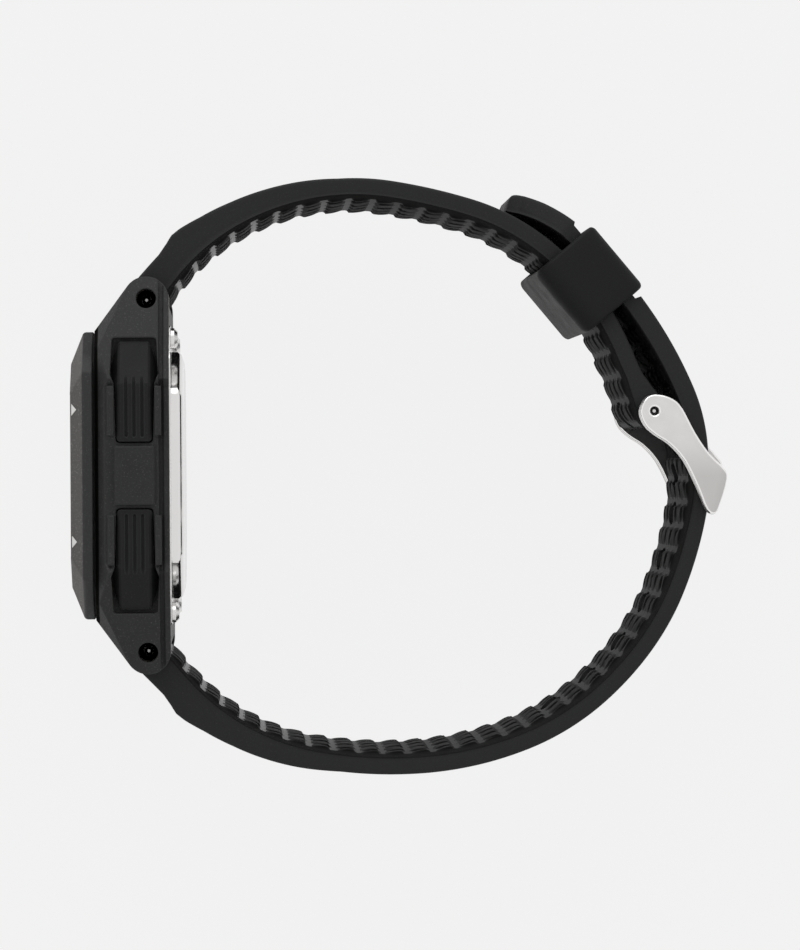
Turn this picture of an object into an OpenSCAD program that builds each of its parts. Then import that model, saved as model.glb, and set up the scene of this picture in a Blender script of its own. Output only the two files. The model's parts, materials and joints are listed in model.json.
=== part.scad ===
// Tide watch, buckled, lying on its 9 o'clock flank.
// +X runs from the dial to the buckle, +Y to 12 o'clock and +Z to the 3 o'clock flank.
// The origin is the middle of the flat land between the two far buttons, on the lowest face.

/* [Case] */
// Width over the two flanks, from 9 to 3 o'clock
case_w = 40; // [39:0.5:44]
// Depth of the moulded case, from its front deck to its rear rim
case_d = 8.2; // [8.2:0.1:9.4]
// Distance between the two strap bars
bar_span = 39.2; // [38.4:0.2:42]
// Height of the front deck, from 6 to 12 o'clock
deck_h = 32; // [31:0.5:34]
// How far each lug's bar lies in front of the rear rim, which is also the radius of the lug's end
lug_r = 2.5; // [2.3:0.1:2.8]
// Space between two lug horns
lug_gap = 22; // [21:0.5:23]
// Thickness of a lug horn at its end
horn_t = 4; // [3:0.25:5]

/* [Bezel and display] */
// Depth of the bezel
bezel_d = 2.55; // [2.4:0.05:3.2]
// Width of the bezel, from 9 to 3 o'clock
bezel_w = 37; // [34:0.5:38]
// Shadow gap between bezel and case
bezel_gap = 0.25; // [0.15:0.05:0.5]
// Thickness of the crystal
crystal_t = 1.5; // [1:0.1:1.8]
// Thickness of the liquid crystal panel
lcd_t = 1.6; // [1.2:0.1:2]
// Diameter of the coin cell
battery_dia = 20; // [16:0.5:21]
// Thickness of the coin cell
battery_t = 2.5; // [1.6:0.1:2.6]

/* [Case back] */
// Height of the steel boss above the rear rim
boss_h = 1.55; // [1.2:0.05:2.4]
// Length of the steel boss, from 6 to 12 o'clock
boss_l = 28; // [24:0.5:28.5]
// Thickness of the steel plate
plate_t = 0.8; // [0.6:0.05:1]

/* [Buttons] */
// Length of a button window
window_l = 11.6; // [10.5:0.1:12]
// Distance from the watch's middle to a button window
window_in = 3.6; // [3:0.1:4.5]
// Widest width of a button window
window_w = 5.3; // [4.8:0.1:5.6]
// Gap round a button
button_gap = 0.13; // [0.08:0.01:0.25]
// Travel of a button
travel = 0.8; // [0.4:0.05:0.9]
// Radius of a button stem
stem_r = 0.9; // [0.7:0.05:1.1]

/* [Strap] */
// Width of the strap at the buckle
strap_w = 20; // [18:0.5:20.5]
// Thickness of the strap
strap_t = 2.15; // [1.8:0.05:2.4]
// Height of the ribs on the wrist side
rib_h = 0.32; // [0.1:0.02:0.4]
// Pitch of the ribs
rib_pitch = 2.65; // [2.4:0.05:3.2]
// Length of an adjusting hole
hole_l = 4.1; // [4:0.1:4.4]
// Width of an adjusting hole
hole_w = 2.4; // [2.4:0.1:3]
// Number of adjusting holes
hole_count = 12; // [6:1:13]
// Radius of the spring bars
bar_r = 0.9; // [0.7:0.05:1]

/* [Buckle and keeper] */
// Thickness of a buckle arm
arm_t = 1.75; // [1.2:0.05:2.2]
// Width of the tongue
tongue_w = 1.8; // [1.4:0.1:1.8]
// Thickness of the tongue
tongue_t = 1.1; // [0.8:0.05:1.2]
// Length of the keeper along the strap
keeper_l = 8.6; // [6:0.2:9]
// Wall of the keeper over the tail
keeper_t = 0.94; // [0.8:0.02:1.6]

/* [Hidden] */
$fn = 48;

// Levels of the case along X
button_back = 0.3;
deck_x = -case_d / 2 - button_back;
rim_x = deck_x + case_d;
bar_x = rim_x - lug_r;
bar_y = bar_span / 2;
half_w = case_w / 2;
bezel_back = deck_x - bezel_gap;
bezel_front = bezel_back - bezel_d;

// Flank levels, measured from the mid-plane
land_h = 0.7;
land_half = 2.15;
land_gap = 0.4;
pad_w = 0.7;
pad_l = 5.4;
pad_from = 0.8;
pad_over = 0.05;
flank_z = half_w - land_h;
shoulder_drop = 0.1;
shoulder_z = half_w - shoulder_drop;
shoulder_y = 10.6;
shoulder_l = 1;
lug_in = lug_gap / 2;
horn_z = lug_in + horn_t;
groove_w = 0.55;
groove_h = 0.9;
rim_w = 0.6;
rim_h = 0.45;
edge_run = 1.1;
edge_drop = 1.5;
lug_slope_run = 1.35;
lug_slope_drop = 1.6;

// How far a block or a cut reaches into its neighbour, and a length past everything here
sink = 1;
through = 100;

// Cavity of the case and the steel back's seat
// The cavity ends at the wall of the deck or at the seat of the plate, whichever comes first
wall_y = 2.4;
wall_z = 4.5;
seat_w = 3.1;
seat_depth = 0.65;
seat_x = rim_x - seat_depth;
plate_proud = plate_t - seat_depth;
back_x = rim_x + plate_proud;
top_x = rim_x + boss_h;
strap_clear = 0.2;
strap_end_r = 2.3;
root_back = 2.2;
end_clear = 0.3;
gap_wall = 0.3;
gap_r = strap_end_r + end_clear;
plate_y = bar_y - gap_r - gap_wall;
cavity_y = min(deck_h / 2 - wall_y, plate_y - seat_w);
cavity_z = half_w - wall_z;
cavity_c = 2;
corner_r = 1;
plate_side = 1.4;
plate_z = cavity_z + plate_side;
plate_c = 3.6;
groove_in = 0.4;
groove_out = 1.1;
groove_depth = 0.35;
fit = 0.05;
boss_y = boss_l / 2;
boss_side = 3.4;
boss_z = plate_z - boss_side;
boss_c = 5.4;
boss_end_c = 4.6;
boss_r = 1.2;
boss_inner_r = 0.8;
// Rounded edge of the boss: [distance below its top, distance inwards]
boss_edge = [[0.65, 0], [0.43, 0.1], [0.24, 0.34], [0.1, 0.8], [0, 1.7]];
screw_out = 0.25;
screw_y = (cavity_y + plate_y) / 2 + screw_out;
screw_clear = 0.97;
screw_r = 0.6;
screw_l = 3.4;
screw_room = 0.5;
screw_play = 0.1;
screw_head_r = 1.15;
screw_head_h = 0.75;
screw_side_h = 0.375;
screw_top_r = 0.8;
recess_l = 1.5;
recess_w = 0.3;
recess_d = 0.4;
screw_z = boss_y + boss_z - boss_end_c - screw_y + (screw_head_r + screw_clear) * sqrt(2);

// Stack inside the case
bezel_y = deck_h / 2;
bezel_z = bezel_w / 2;
bezel_c = 4.6;
bezel_r = 0.5;
bezel_side_h = 1.05;
chamfer_y = 3.5;
chamfer_z = 3;
front_c = 3.4;
front_lip = 0.2;
spigot_l = 2.1;
spigot_t = 1;
spigot_c = cavity_c - 0.2;
spigot_r = 0.6;
gasket_w = 1.5;
gasket_play = 0.1;
gasket_c = 2.9;
small_r = 0.4;
module_y = cavity_y - 1.15;
module_z = cavity_z - 2.1;
module_c = 3.4;
lcd_y = module_y - 2.85;
lcd_z = module_z - 1;
lcd_c = 0.6;
mask_y = lcd_y - 1;
mask_z = lcd_z - 1;
mask_c = 1.6;
ledge_w = 1;
ledge_t = 0.5;
opening_y = mask_y + 1.8;
opening_z = mask_z + 2;
opening_c = 2.8;
crystal_y = opening_y + ledge_w;
crystal_z = opening_z + ledge_w;
crystal_c = 3.2;
crystal_x = bezel_front + front_lip;
mask_t = 0.4;
mask_x = bezel_back;
lcd_x = mask_x + mask_t;
light_t = 0.5;
light_x = lcd_x + lcd_t;
light_y = lcd_y - 1.2;
light_z = lcd_z - 0.4;
zebra_h = 1.3;
zebra_w = 0.9;
zebra_y = light_y + 0.2;
zebra_z = light_z - 1;
board_t = 0.8;
board_in = 1.1;
board_c = 3;
board_play = 0.1;
board_hole_r = 0.6;
board_hole_in = 0.9;
board_x = light_x + zebra_h;
battery_x = board_x + board_t + board_play;
battery_play = 0.2;
battery_step_w = 1.6;
battery_step_h = 0.3;
contact_t = 0.2;
contact_half = 2.2;
contact_in = 0.4;
contact_disc_r = 4.2;
contact_hole_r = 0.5;
contact_hole_in = 1;
piezo_r = 9;
piezo_t = 0.12;
ceramic_r = 6.5;
ceramic_t = 0.15;

// Buttons
pocket_depth = 3.2;
pocket_z = half_w - pocket_depth;
cap_play = 0.1;
cap_z = pocket_z + travel + cap_play;
cap_below = 0.3;
// Crown of a button: [half width, drop below its top]
cap_crown = [[1.5, 0], [1.8, 0.14], [2.1, 0.45], [3, 1.7]];
fall_in = 0.5;
flute_pitch = 0.88;
flute_from = 0.6;
flute_l = 7.2;
flute_w = 0.4;
flute_d = 0.32;
window_foot_in = 0.6;
window_neck_in = 0.42;
window_neck_l = 1;
window_wide_at = 4.1;
window_top_in = 0.2;
window_r = 0.4;
window_neck_r = 1;
window_wide_r = 0.6;
spring_r = 1.75;
spring_seat = 1.2;
spring_play = 0.1;
coil_gap = 0.4;
coil_wire_r = 0.14;
coil_h = 1.2;
coil_turns = 3;
stem_past = 0.9;
stem_end_z = cavity_z - stem_past;
stem_side_play = 0.45;
seal_r = 1.5;
seal_h = 0.6;
clip_t = 0.25;
clip_play = 0.1;
clip_z = cavity_z - clip_play - clip_t;
clip_w = 0.85;
button_y = cavity_y - cavity_c - stem_r - clip_w - stem_side_play;
clip_groove = 0.25;
clip_bite = 0.01;
clip_mouth_in = 0.3;

// Course of the strap's middle line: [length, turn] of each arc, from the bar outwards.
// The lower strap is written as seen in a mirror, so both straps turn to the right.
upper_heading = 50.5;
upper_course = [[6, -3], [8, -19], [9, -18.5], [9, -19], [9, -8], [11, -24.5], [14, -26.5], [7.2, 8]];
lower_heading = 45.5;
usual_span = 39.2;
usual_run = 1.5;
upright_run = usual_run + bar_span - usual_span;
lower_course = [[6, 2], [8, -17], [9, -20], [12, -14], [12, -17.5], [12, -24], [12, -21.5], [12, -15.5],
    [2.9, -9.5], [upright_run, 0], [7.6, -21.5], [10, -12], [10, -8], [13, -41]];
lower_added = upright_run - usual_run;
tail_off = 2;
upper_length = total(upper_course);
lower_length = total(lower_course) - tail_off;

// Half thickness towards the outer and the wrist side, by distance from the bar
half_t = strap_t / 2;
root_outer = [[0, 2.3], [1.5, 2.45], [4.8, 2.4], [6.2, 2.6], [7.2, 2.85], [8.3, 2.75], [10.6, 2.3],
    [14, 1.9], [18, 1.6], [26, half_t]];
root_inner = [[0, 1.45], [2.7, 1.2], [5, half_t]];
end_boss_r = 1.85;
end_boss = [[upper_length - 4.5, half_t], [upper_length - 2, 1.5], [upper_length, end_boss_r]];
strap_root_w = lug_gap - 2 * strap_clear;
strap_root_l = 20;
strap_edge = 0.5;
outer_fall = 0.7;
inner_fall = 0.5;
rib_rim = 1;
rib_slope = 0.35;
rib_first = 3;
rib_last = 2;
// Shares of the pitch at which a rib starts, stands, still stands and ends, each with its share of the height
rib_shape = [[0, 0], [0.13, 1], [0.62, 1], [0.75, 0]];
tail_tip_w = 12;
tail_taper_l = 7;
// Shares of the taper's length, each with the share by which the tail has drawn in
tail_curve = [[0, 0], [0.5, 0.225], [0.8, 0.55], [1, 1]];
tail_lean_l = 1.2;
tail_lean = 0.55;
tongue_slot_l = 2.4;
tongue_play = 0.3;
// Angles of the cross-sections round a strap's end
end_angles = [0, 20, 40, 60, 80];

// Buckle, in a frame whose origin is the bar and whose x runs along the arms
pivot = along(upper_length, upper_course, [bar_x, bar_y, upper_heading]);
buckle_angle = -52;
arm_in = strap_w / 2 + 0.35;
arm_out = arm_in + arm_t;
arm_outline = [[-1.8, 0.3], [-1.1, 1.6], [0.3, 2.5], [1.8, 2.65], [4.8, 2.1], [7.6, 1.9], [10, 2.2],
    [11.2, 1.8], [12.8, -0.4], [13.4, -1.8], [12.4, -2.3], [9.8, -1.55], [6.5, -0.85], [4, -1],
    [2.2, -1.6], [0.6, -1.85], [-1, -1.3]];
cross_bar = [[10, 1.95, 0.35], [11.2, 1.6, 0.5], [13.2, -1.7, 0.25], [12.85, -2, 0.15],
    [11.6, -0.3, 0.6], [10.1, 0.9, 0.35]];
bar_tip_r = 0.5;
bar_body_l = lug_gap - 0.6;
bar_tip_l = 1.85;
// Radius of the flat that is left on a tapered tip
tip_flat_r = 0.18;
access_in = 1.6;
access_z = lug_in + access_in;
access_r = 1.1;
pin_tip_r = 0.42;
pin_r = bar_r - fit;
pin_play = 0.1;
pin_tip_l = 1.3;
run = 0.055;
cross_bite = 0.1;
// Rounded end of an arm: each plane's point on the arm's outer face, how far it lies below it, and its tilt
arm_end = [[[10.9, 0.55], 0, 20], [[11.3, 0.85], 0.18, 50]];
arm_end_turn = 36.9;
eye_play = 0.06;
tongue_tip = 0.35;
tongue_course = [[0, 0], [3, 0.85], [5.8, 2.4], [8, 3.2], [10.3, 3.25], [11.7, 2.75]];
eye_r = 1.4;
hole_from = 89.5;
hole_at = hole_from + lower_added;
hole_step = 2 * rib_pitch;
holes_before = 7;

// Keeper, on the upper strap's course
keeper_at = 56.6;
keeper_rise = 0.49;
keeper_h = 8.5;
keeper_play = 0.5;
keeper_over = 1.6;
keeper_side_play = 0.3;
keeper_wrist_t = 1.3;
keeper_end_r = 0.5;
keeper_corner_r = 0.9;
keeper_inner_r = 0.4;
tail_seat_more = 0.3;
tail_seat_play = 0.13;
tail_seat_l = keeper_l + 2 * keeper_play + tail_seat_more;

function total(course, k = 0) = k == len(course) ? 0 : course[k][0] + total(course, k + 1);

// Place and heading [x, y, angle] a distance d further on, after turning by t
function onward(p, d, t) =
    t == 0 ? [p[0] + d * cos(p[2]), p[1] + d * sin(p[2]), p[2]]
    : let (r = d * 180 / (t * PI))
        [p[0] + r * (sin(p[2] + t) - sin(p[2])), p[1] - r * (cos(p[2] + t) - cos(p[2])), p[2] + t];

// Place and heading at distance s along a chain of arcs that starts at p
function along(s, course, p, k = 0) =
    let (a = course[k])
    s <= a[0] || k == len(course) - 1 ? onward(p, s, s <= 0 ? 0 : a[1] * s / a[0])
    : along(s - a[0], course, onward(p, a[0], a[1]), k + 1);

function unit(v) = v / norm(v);

// The points of a corner a-b-c that is rounded to radius r
function corner(a, b, c, r, n) =
    r == 0 ? [b]
    : let (u = unit(a - b), v = unit(c - b), half = acos(u * v) / 2,
        m = b + unit(u + v) * r / sin(half), p = b + u * r / tan(half),
        first = atan2(p[1] - m[1], p[0] - m[0]), turn = (180 - 2 * half) * sign(cross(b - a, c - b)))
        [for (i = [0:n]) m + r * [cos(first + turn * i / n), sin(first + turn * i / n)]];

function flat(p) = [p[0], p[1]];

// An outline whose points are [x, y] or [x, y, radius]
function rounded(pts, n = 5) =
    let (k = len(pts))
    [for (i = [0:k - 1]) each corner(flat(pts[(i + k - 1) % k]), flat(pts[i]), flat(pts[(i + 1) % k]),
        len(pts[i]) > 2 ? pts[i][2] : 0, n)];

// A smooth closed curve through points
function smooth(pts, n = 3) =
    let (k = len(pts))
    [for (i = [0:k - 1]) let (a = pts[(i + k - 1) % k], b = pts[i], c = pts[(i + 1) % k], d = pts[(i + 2) % k])
        for (j = [0:n - 1]) let (t = j / n)
        (2 * b + (c - a) * t + (2 * a - 5 * b + 4 * c - d) * t * t + (3 * b - a - 3 * c + d) * t * t * t) / 2];

// A rectangle with its corners cut off by c and rounded by r. Where d is given, it is the cut along y.
function octagon(y, z, c, r = 0, d = 0) =
    let (e = d == 0 ? c : d)
    rounded([[y, z - c, r], [y - e, z, r], [e - y, z, r], [-y, z - c, r],
        [-y, c - z, r], [e - y, -z, r], [y - e, -z, r], [y, c - z, r]]);

// A slot with round ends, centred, along x
function slot(l, w, n = 6) =
    let (s = (l - w) / 2)
    [for (i = [0:n]) [s + w / 2 * cos(-90 + 180 * i / n), w / 2 * sin(-90 + 180 * i / n)],
     for (i = [0:n]) [-s + w / 2 * cos(90 + 180 * i / n), w / 2 * sin(90 + 180 * i / n)]];

// Puts the mid-plane at its height above the lowest face
module raised() {
    translate([0, 0, half_w]) children();
}

// Extrudes an outline drawn in Y and Z from x0 to x1
module along_x(x0, x1) {
    translate([x0, 0, 0]) rotate([90, 0, 90]) linear_extrude(x1 - x0) children();
}

// Extrudes an outline drawn in X and Y, evenly about the mid-plane
module across(width) {
    linear_extrude(width, center = true) children();
}

// A solid between two outlines with as many points, the first at x0 and the second at x1
module loft_x(a, x0, b, x1) {
    n = len(a);
    polyhedron(
        [for (p = a) [x0, p[0], p[1]], for (p = b) [x1, p[0], p[1]]],
        [[for (i = [0:n - 1]) i], [for (i = [0:n - 1]) 2 * n - 1 - i],
         for (i = [0:n - 1]) [i, i + n, (i + 1) % n + n, (i + 1) % n]]);
}

// Everything beyond a plane through p with outward normal v
module beyond(p, v) {
    u = unit(v);
    translate(p) rotate([0, acos(u[2]), atan2(u[1], u[0])])
        translate([-through / 2, -through / 2, 0]) cube(through);
}

module both_y() {
    children();
    mirror([0, 1, 0]) children();
}

module both_z() {
    children();
    mirror([0, 0, 1]) children();
}

// Case

// Point where the front slope of a lug touches the lug's round end
function slope_touch() =
    let (c = [bar_x, bar_y], p = [deck_x, deck_h / 2], a = atan2(p[1] - c[1], p[0] - c[0]) + 360,
        b = a - acos(lug_r / norm(p - c)))
        c + lug_r * [cos(b), sin(b)];

module case_side() {
    t = slope_touch();
    both_y() {
        polygon([[deck_x, -1], [rim_x, -1], [rim_x, bar_y], [bar_x, bar_y], t, [deck_x, deck_h / 2]]);
        translate([bar_x, bar_y]) circle(lug_r);
    }
}

// Outline of the case from the front; the flanks fall back towards the lug ends
module case_front(inset) {
    end_y = bar_y + lug_r;
    polygon([for (k = [[1, 1], [-1, 1], [-1, -1], [1, -1]])
        let (half = [[end_y, horn_z], [shoulder_y, shoulder_z], [shoulder_y - shoulder_l, flank_z]])
        for (i = k[0] * k[1] > 0 ? [0, 1, 2] : [2, 1, 0]) [k[0] * half[i][0], k[1] * (half[i][1] - inset)]]);
}

// How much a lug's flank falls for each millimetre towards its end, and its height at a place
lug_fall = (shoulder_z - horn_z) / (bar_y + lug_r - shoulder_y);
function lug_z(y) = shoulder_z - (y - shoulder_y) * lug_fall;

// The slope between a lug's flank and its front, which starts at the round end and widens to the deck
module lug_bevel() {
    t = slope_touch();
    y = deck_h / 2;
    on_flank = [deck_x + lug_slope_run, y, lug_z(y)];
    on_front = [deck_x, y, lug_z(y) - lug_slope_drop];
    beyond(on_flank, cross([t[0], t[1], lug_z(t[1])] - on_flank, on_front - on_flank));
}

module window(gap, h) {
    y0 = window_in + gap;
    y1 = window_in + window_l - gap;
    wide = window_w / 2 - gap;
    foot = wide - window_foot_in;
    neck = wide - window_neck_in;
    top = wide - window_top_in;
    y_wide = y1 - window_wide_at;
    y_neck = y_wide - window_neck_l;
    linear_extrude(h) polygon(rounded([[-foot, y0, window_r], [foot, y0, window_r],
        [neck, y_neck, window_neck_r], [wide, y_wide, window_wide_r], [top, y1, window_r],
        [-top, y1, window_r], [-wide, y_wide, window_wide_r], [-neck, y_neck, window_neck_r]]));
}

// What one button needs cut out of the flank
module button_cut() {
    translate([0, 0, pocket_z]) window(0, through);
    translate([0, button_y, cavity_z - sink]) cylinder(r = stem_r + run, h = pocket_z - cavity_z + 2 * sink);
    translate([0, button_y, cavity_z - sink]) cylinder(r = seal_r, h = sink + seal_h);
}

module case_solid() {
    intersection() {
        across(case_w) case_side();
        union() {
            along_x(deck_x, rim_x - groove_w - rim_w) case_front(0);
            along_x(rim_x - groove_w - rim_w, rim_x - rim_w) case_front(groove_h);
            along_x(rim_x - rim_w, rim_x) case_front(rim_h);
        }
    }
    both_z() {
        land_l = 2 * (window_in - land_gap);
        translate([-land_half, -land_l / 2, flank_z - sink]) cube([2 * land_half, land_l, land_h + sink]);
        both_y() for (side = [-1, 1])
            translate([side * (window_w / 2 - pad_over) - pad_w / 2, window_in + pad_from, flank_z - sink])
                cube([pad_w, pad_l, shoulder_z - flank_z + sink]);
    }
}

module case_body() {
    raised() color("#2b2b2c") difference() {
        case_solid();
        both_z() {
            beyond([deck_x, 0, flank_z - edge_drop], [-edge_drop, 0, edge_run]);
            both_y() {
                lug_bevel();
                button_cut();
                translate([bar_x, bar_y, lug_in - sink])
                    cylinder(r = bar_tip_r + run, h = access_in + 2 * sink);
                translate([bar_x, bar_y, access_z]) cylinder(r = access_r, h = through);
                translate([back_x - screw_l - screw_room, screw_y, screw_z]) rotate([0, 90, 0])
                    cylinder(r = screw_r + fit, h = screw_l + screw_room);
            }
        }
        both_y() {
            translate([bar_x, bar_y, 0]) cylinder(r = gap_r, h = lug_gap, center = true);
            translate([deck_x - sink, bar_y, -lug_in]) cube([case_d + 2 * sink, through, lug_gap]);
        }
        along_x(deck_x - sink, rim_x + sink) polygon(octagon(cavity_y, cavity_z, cavity_c, corner_r));
        along_x(seat_x, rim_x + sink) polygon(octagon(plate_y + fit, plate_z + fit, plate_c, corner_r));
        along_x(seat_x - groove_depth, seat_x + fit)
            ring(octagon(cavity_y + groove_out, cavity_z + groove_out, cavity_c, corner_r),
                octagon(cavity_y + groove_in, cavity_z + groove_in, cavity_c, corner_r));
    }
}

module ring(outer, inner) {
    difference() {
        polygon(outer);
        polygon(inner);
    }
}

// Bezel and crystal

module bezel() {
    shoulder_x = bezel_back - bezel_side_h;
    outline = octagon(bezel_y, bezel_z, bezel_c, bezel_r);
    raised() color("#3a3a3a") difference() {
        union() {
            along_x(shoulder_x, bezel_back) polygon(outline);
            loft_x(octagon(bezel_y - chamfer_y, bezel_z - chamfer_z, front_c, bezel_r), bezel_front,
                outline, shoulder_x);
            along_x(bezel_back, bezel_back + spigot_l)
                ring(octagon(cavity_y - fit, cavity_z - fit, cavity_c, corner_r),
                    octagon(cavity_y - spigot_t, cavity_z - spigot_t, spigot_c, spigot_r));
        }
        along_x(bezel_front - sink, bezel_back - ledge_t)
            polygon(octagon(crystal_y + fit, crystal_z + fit, crystal_c, small_r));
        along_x(bezel_front, bezel_back + sink) polygon(octagon(opening_y, opening_z, opening_c, small_r));
    }
}

module bezel_gasket() {
    y = cavity_y + gasket_play;
    z = cavity_z + gasket_play;
    raised() color("#111111") along_x(bezel_back, deck_x)
        ring(octagon(y + gasket_w, z + gasket_w, gasket_c, bezel_r), octagon(y, z, cavity_c, corner_r));
}

module crystal() {
    raised() color("#8fa0a0") along_x(crystal_x, crystal_x + crystal_t)
        polygon(octagon(crystal_y, crystal_z, crystal_c, small_r));
}

module crystal_gasket() {
    raised() color("#181818") along_x(crystal_x + crystal_t, bezel_back - ledge_t)
        ring(octagon(crystal_y, crystal_z, crystal_c, small_r),
            octagon(opening_y, opening_z, opening_c, small_r));
}

// Display and movement

module dial_mask() {
    out = spigot_t + fit;
    raised() color("#1a1a1a") along_x(mask_x, mask_x + mask_t)
        ring(octagon(cavity_y - out, cavity_z - out, spigot_c, spigot_r),
            octagon(mask_y, mask_z, mask_c, small_r));
}

module lcd_panel() {
    raised() color("#9aa193") along_x(lcd_x, lcd_x + lcd_t) polygon(octagon(lcd_y, lcd_z, lcd_c));
}

module backlight_panel() {
    raised() color("#dfe8e8") along_x(light_x, light_x + light_t) polygon(octagon(light_y, light_z, lcd_c));
}

module zebra_connector() {
    raised() color("#c9a6a0") both_y()
        translate([light_x, zebra_y, -zebra_z]) cube([zebra_h, zebra_w, 2 * zebra_z]);
}

module circuit_board() {
    y = module_y - board_in;
    z = module_z - board_in;
    raised() color("#1f5a34") along_x(board_x, board_x + board_t) difference() {
        polygon(octagon(y, z, board_c, small_r));
        for (side = [-1, 1]) translate([0, side * (z - board_hole_in)]) circle(board_hole_r);
    }
}

module module_frame() {
    pocket = board_in - board_play;
    raised() color("#e8e6e0") difference() {
        along_x(lcd_x, battery_x + battery_t) polygon(octagon(module_y, module_z, module_c, bezel_r));
        along_x(lcd_x - sink, board_x) polygon(octagon(lcd_y + fit, lcd_z + fit, lcd_c));
        along_x(board_x - fit, battery_x)
            polygon(octagon(module_y - pocket, module_z - pocket, board_c, small_r));
        translate([board_x, 0, 0]) rotate([0, 90, 0])
            cylinder(r = battery_dia / 2 + battery_play, h = through);
    }
}

module battery() {
    raised() color("#c8c8c8") translate([battery_x, 0, 0]) rotate([0, 90, 0]) {
        cylinder(r = battery_dia / 2 - battery_step_w, h = battery_step_h);
        translate([0, 0, battery_step_h]) cylinder(r = battery_dia / 2, h = battery_t - battery_step_h);
    }
}

module battery_clip() {
    z = module_z - contact_in;
    raised() color("#d8c890") translate([battery_x + battery_t, 0, 0]) {
        along_x(0, contact_t) difference() {
            polygon(octagon(contact_half, z, lcd_c));
            for (side = [-1, 1]) translate([0, side * (z - contact_hole_in)]) circle(contact_hole_r);
        }
        rotate([0, 90, 0]) cylinder(r = contact_disc_r, h = contact_t);
    }
}

// Steel back

module case_back() {
    function outline(in) = octagon(boss_y - in, boss_z - in, boss_c, boss_r, boss_end_c);
    raised() color("#d8d6d0") difference() {
        union() {
            along_x(seat_x, back_x) polygon(octagon(plate_y, plate_z, plate_c, corner_r));
            along_x(back_x, top_x - boss_edge[0][0]) polygon(outline(0));
            for (k = [0:len(boss_edge) - 2])
                loft_x(outline(boss_edge[k][1]), top_x - boss_edge[k][0],
                    outline(boss_edge[k + 1][1]), top_x - boss_edge[k + 1][0]);
        }
        along_x(seat_x - sink, top_x - plate_t)
            polygon(octagon(boss_y - plate_t, boss_z - plate_t, boss_c, boss_inner_r, boss_end_c));
        both_y() both_z() translate([seat_x - sink, screw_y, screw_z]) rotate([0, 90, 0])
            cylinder(r = screw_r + screw_play, h = plate_t + 2 * sink);
    }
}

module case_back_gasket() {
    out = groove_out - fit;
    in = groove_in + fit;
    raised() color("#161616") along_x(seat_x - groove_depth + fit, seat_x)
        ring(octagon(cavity_y + out, cavity_z + out, cavity_c, corner_r),
            octagon(cavity_y + in, cavity_z + in, cavity_c, corner_r));
}

module case_back_screws() {
    raised() color("#d0d0d0") both_y() both_z()
        translate([back_x, screw_y, screw_z]) rotate([0, 90, 0]) difference() {
            union() {
                cylinder(r = screw_head_r, h = screw_side_h);
                translate([0, 0, screw_side_h])
                    cylinder(r1 = screw_head_r, r2 = screw_top_r, h = screw_head_h - screw_side_h);
                translate([0, 0, -screw_l]) cylinder(r = screw_r, h = screw_l + screw_side_h);
            }
            for (turn = [0, 90]) rotate([0, 0, turn])
                translate([-recess_l / 2, -recess_w / 2, screw_head_h - recess_d])
                    cube([recess_l, recess_w, sink]);
        }
}

module piezo_buzzer() {
    raised() color("#c9a94a") translate([top_x - plate_t, 0, 0]) rotate([0, -90, 0]) {
        cylinder(r = piezo_r, h = piezo_t);
        cylinder(r = ceramic_r, h = piezo_t + ceramic_t);
    }
}

// Buttons: drawn for the near flank above the middle, then mirrored to the other places

module place_button(up, near) {
    raised() mirror([0, up ? 0 : 1, 0]) mirror([0, 0, near ? 0 : 1]) children();
}

// A long bar along Y with the crown's outline, whose top is at height 0
module crown() {
    depth = 3 * pocket_depth;
    rotate([-90, 0, 0]) linear_extrude(through, center = true)
        polygon(concat(cap_crown, [[window_w, depth], [-window_w, depth]],
            [for (k = [len(cap_crown) - 1:-1:0]) [-cap_crown[k][0], cap_crown[k][1]]]));
}

// The cap is level over the flutes, and then it falls with the lug
module button_cap() {
    top_z = half_w - cap_below;
    difference() {
        intersection() {
            translate([0, 0, cap_z]) window(button_gap, through);
            translate([0, 0, top_z]) crown();
            translate([0, shoulder_y - fall_in, top_z]) rotate([-atan(lug_fall), 0, 0]) crown();
        }
        for (k = [-1, 0, 1])
            translate([k * flute_pitch, window_in + flute_from + flute_l / 2, top_z - flute_d])
                rotate([0, 0, 90]) linear_extrude(sink) polygon(slot(flute_l, flute_w));
        translate([0, button_y, cap_z - sink]) cylinder(r = spring_r + spring_play, h = sink + spring_seat);
    }
}

module button() {
    button_cap();
    translate([0, button_y, 0]) difference() {
        translate([0, 0, stem_end_z]) cylinder(r = stem_r, h = cap_z + spring_seat + fit - stem_end_z);
        translate([0, 0, clip_z]) ring_cut();
    }
}

// The groove that the E clip sits in
module ring_cut() {
    difference() {
        cylinder(r = stem_r + sink, h = clip_t);
        translate([0, 0, -sink]) cylinder(r = stem_r - clip_groove, h = clip_t + 2 * sink);
    }
}

module clip() {
    mouth = stem_r - clip_mouth_in;
    translate([0, button_y, clip_z]) linear_extrude(clip_t) difference() {
        circle(stem_r + clip_w);
        circle(stem_r - clip_groove + clip_bite);
        translate([-mouth, -through]) square([2 * mouth, through]);
    }
}

module button_up() {
    place_button(true, true) color("#242425") button();
}

module button_down() {
    place_button(false, true) color("#242425") button();
}

module button_mode() {
    place_button(true, false) color("#242425") button();
}

module button_light() {
    place_button(false, false) color("#242425") button();
}

module clip_up() {
    place_button(true, true) color("silver") clip();
}

module clip_down() {
    place_button(false, true) color("silver") clip();
}

module clip_mode() {
    place_button(true, false) color("silver") clip();
}

module clip_light() {
    place_button(false, false) color("silver") clip();
}

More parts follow.
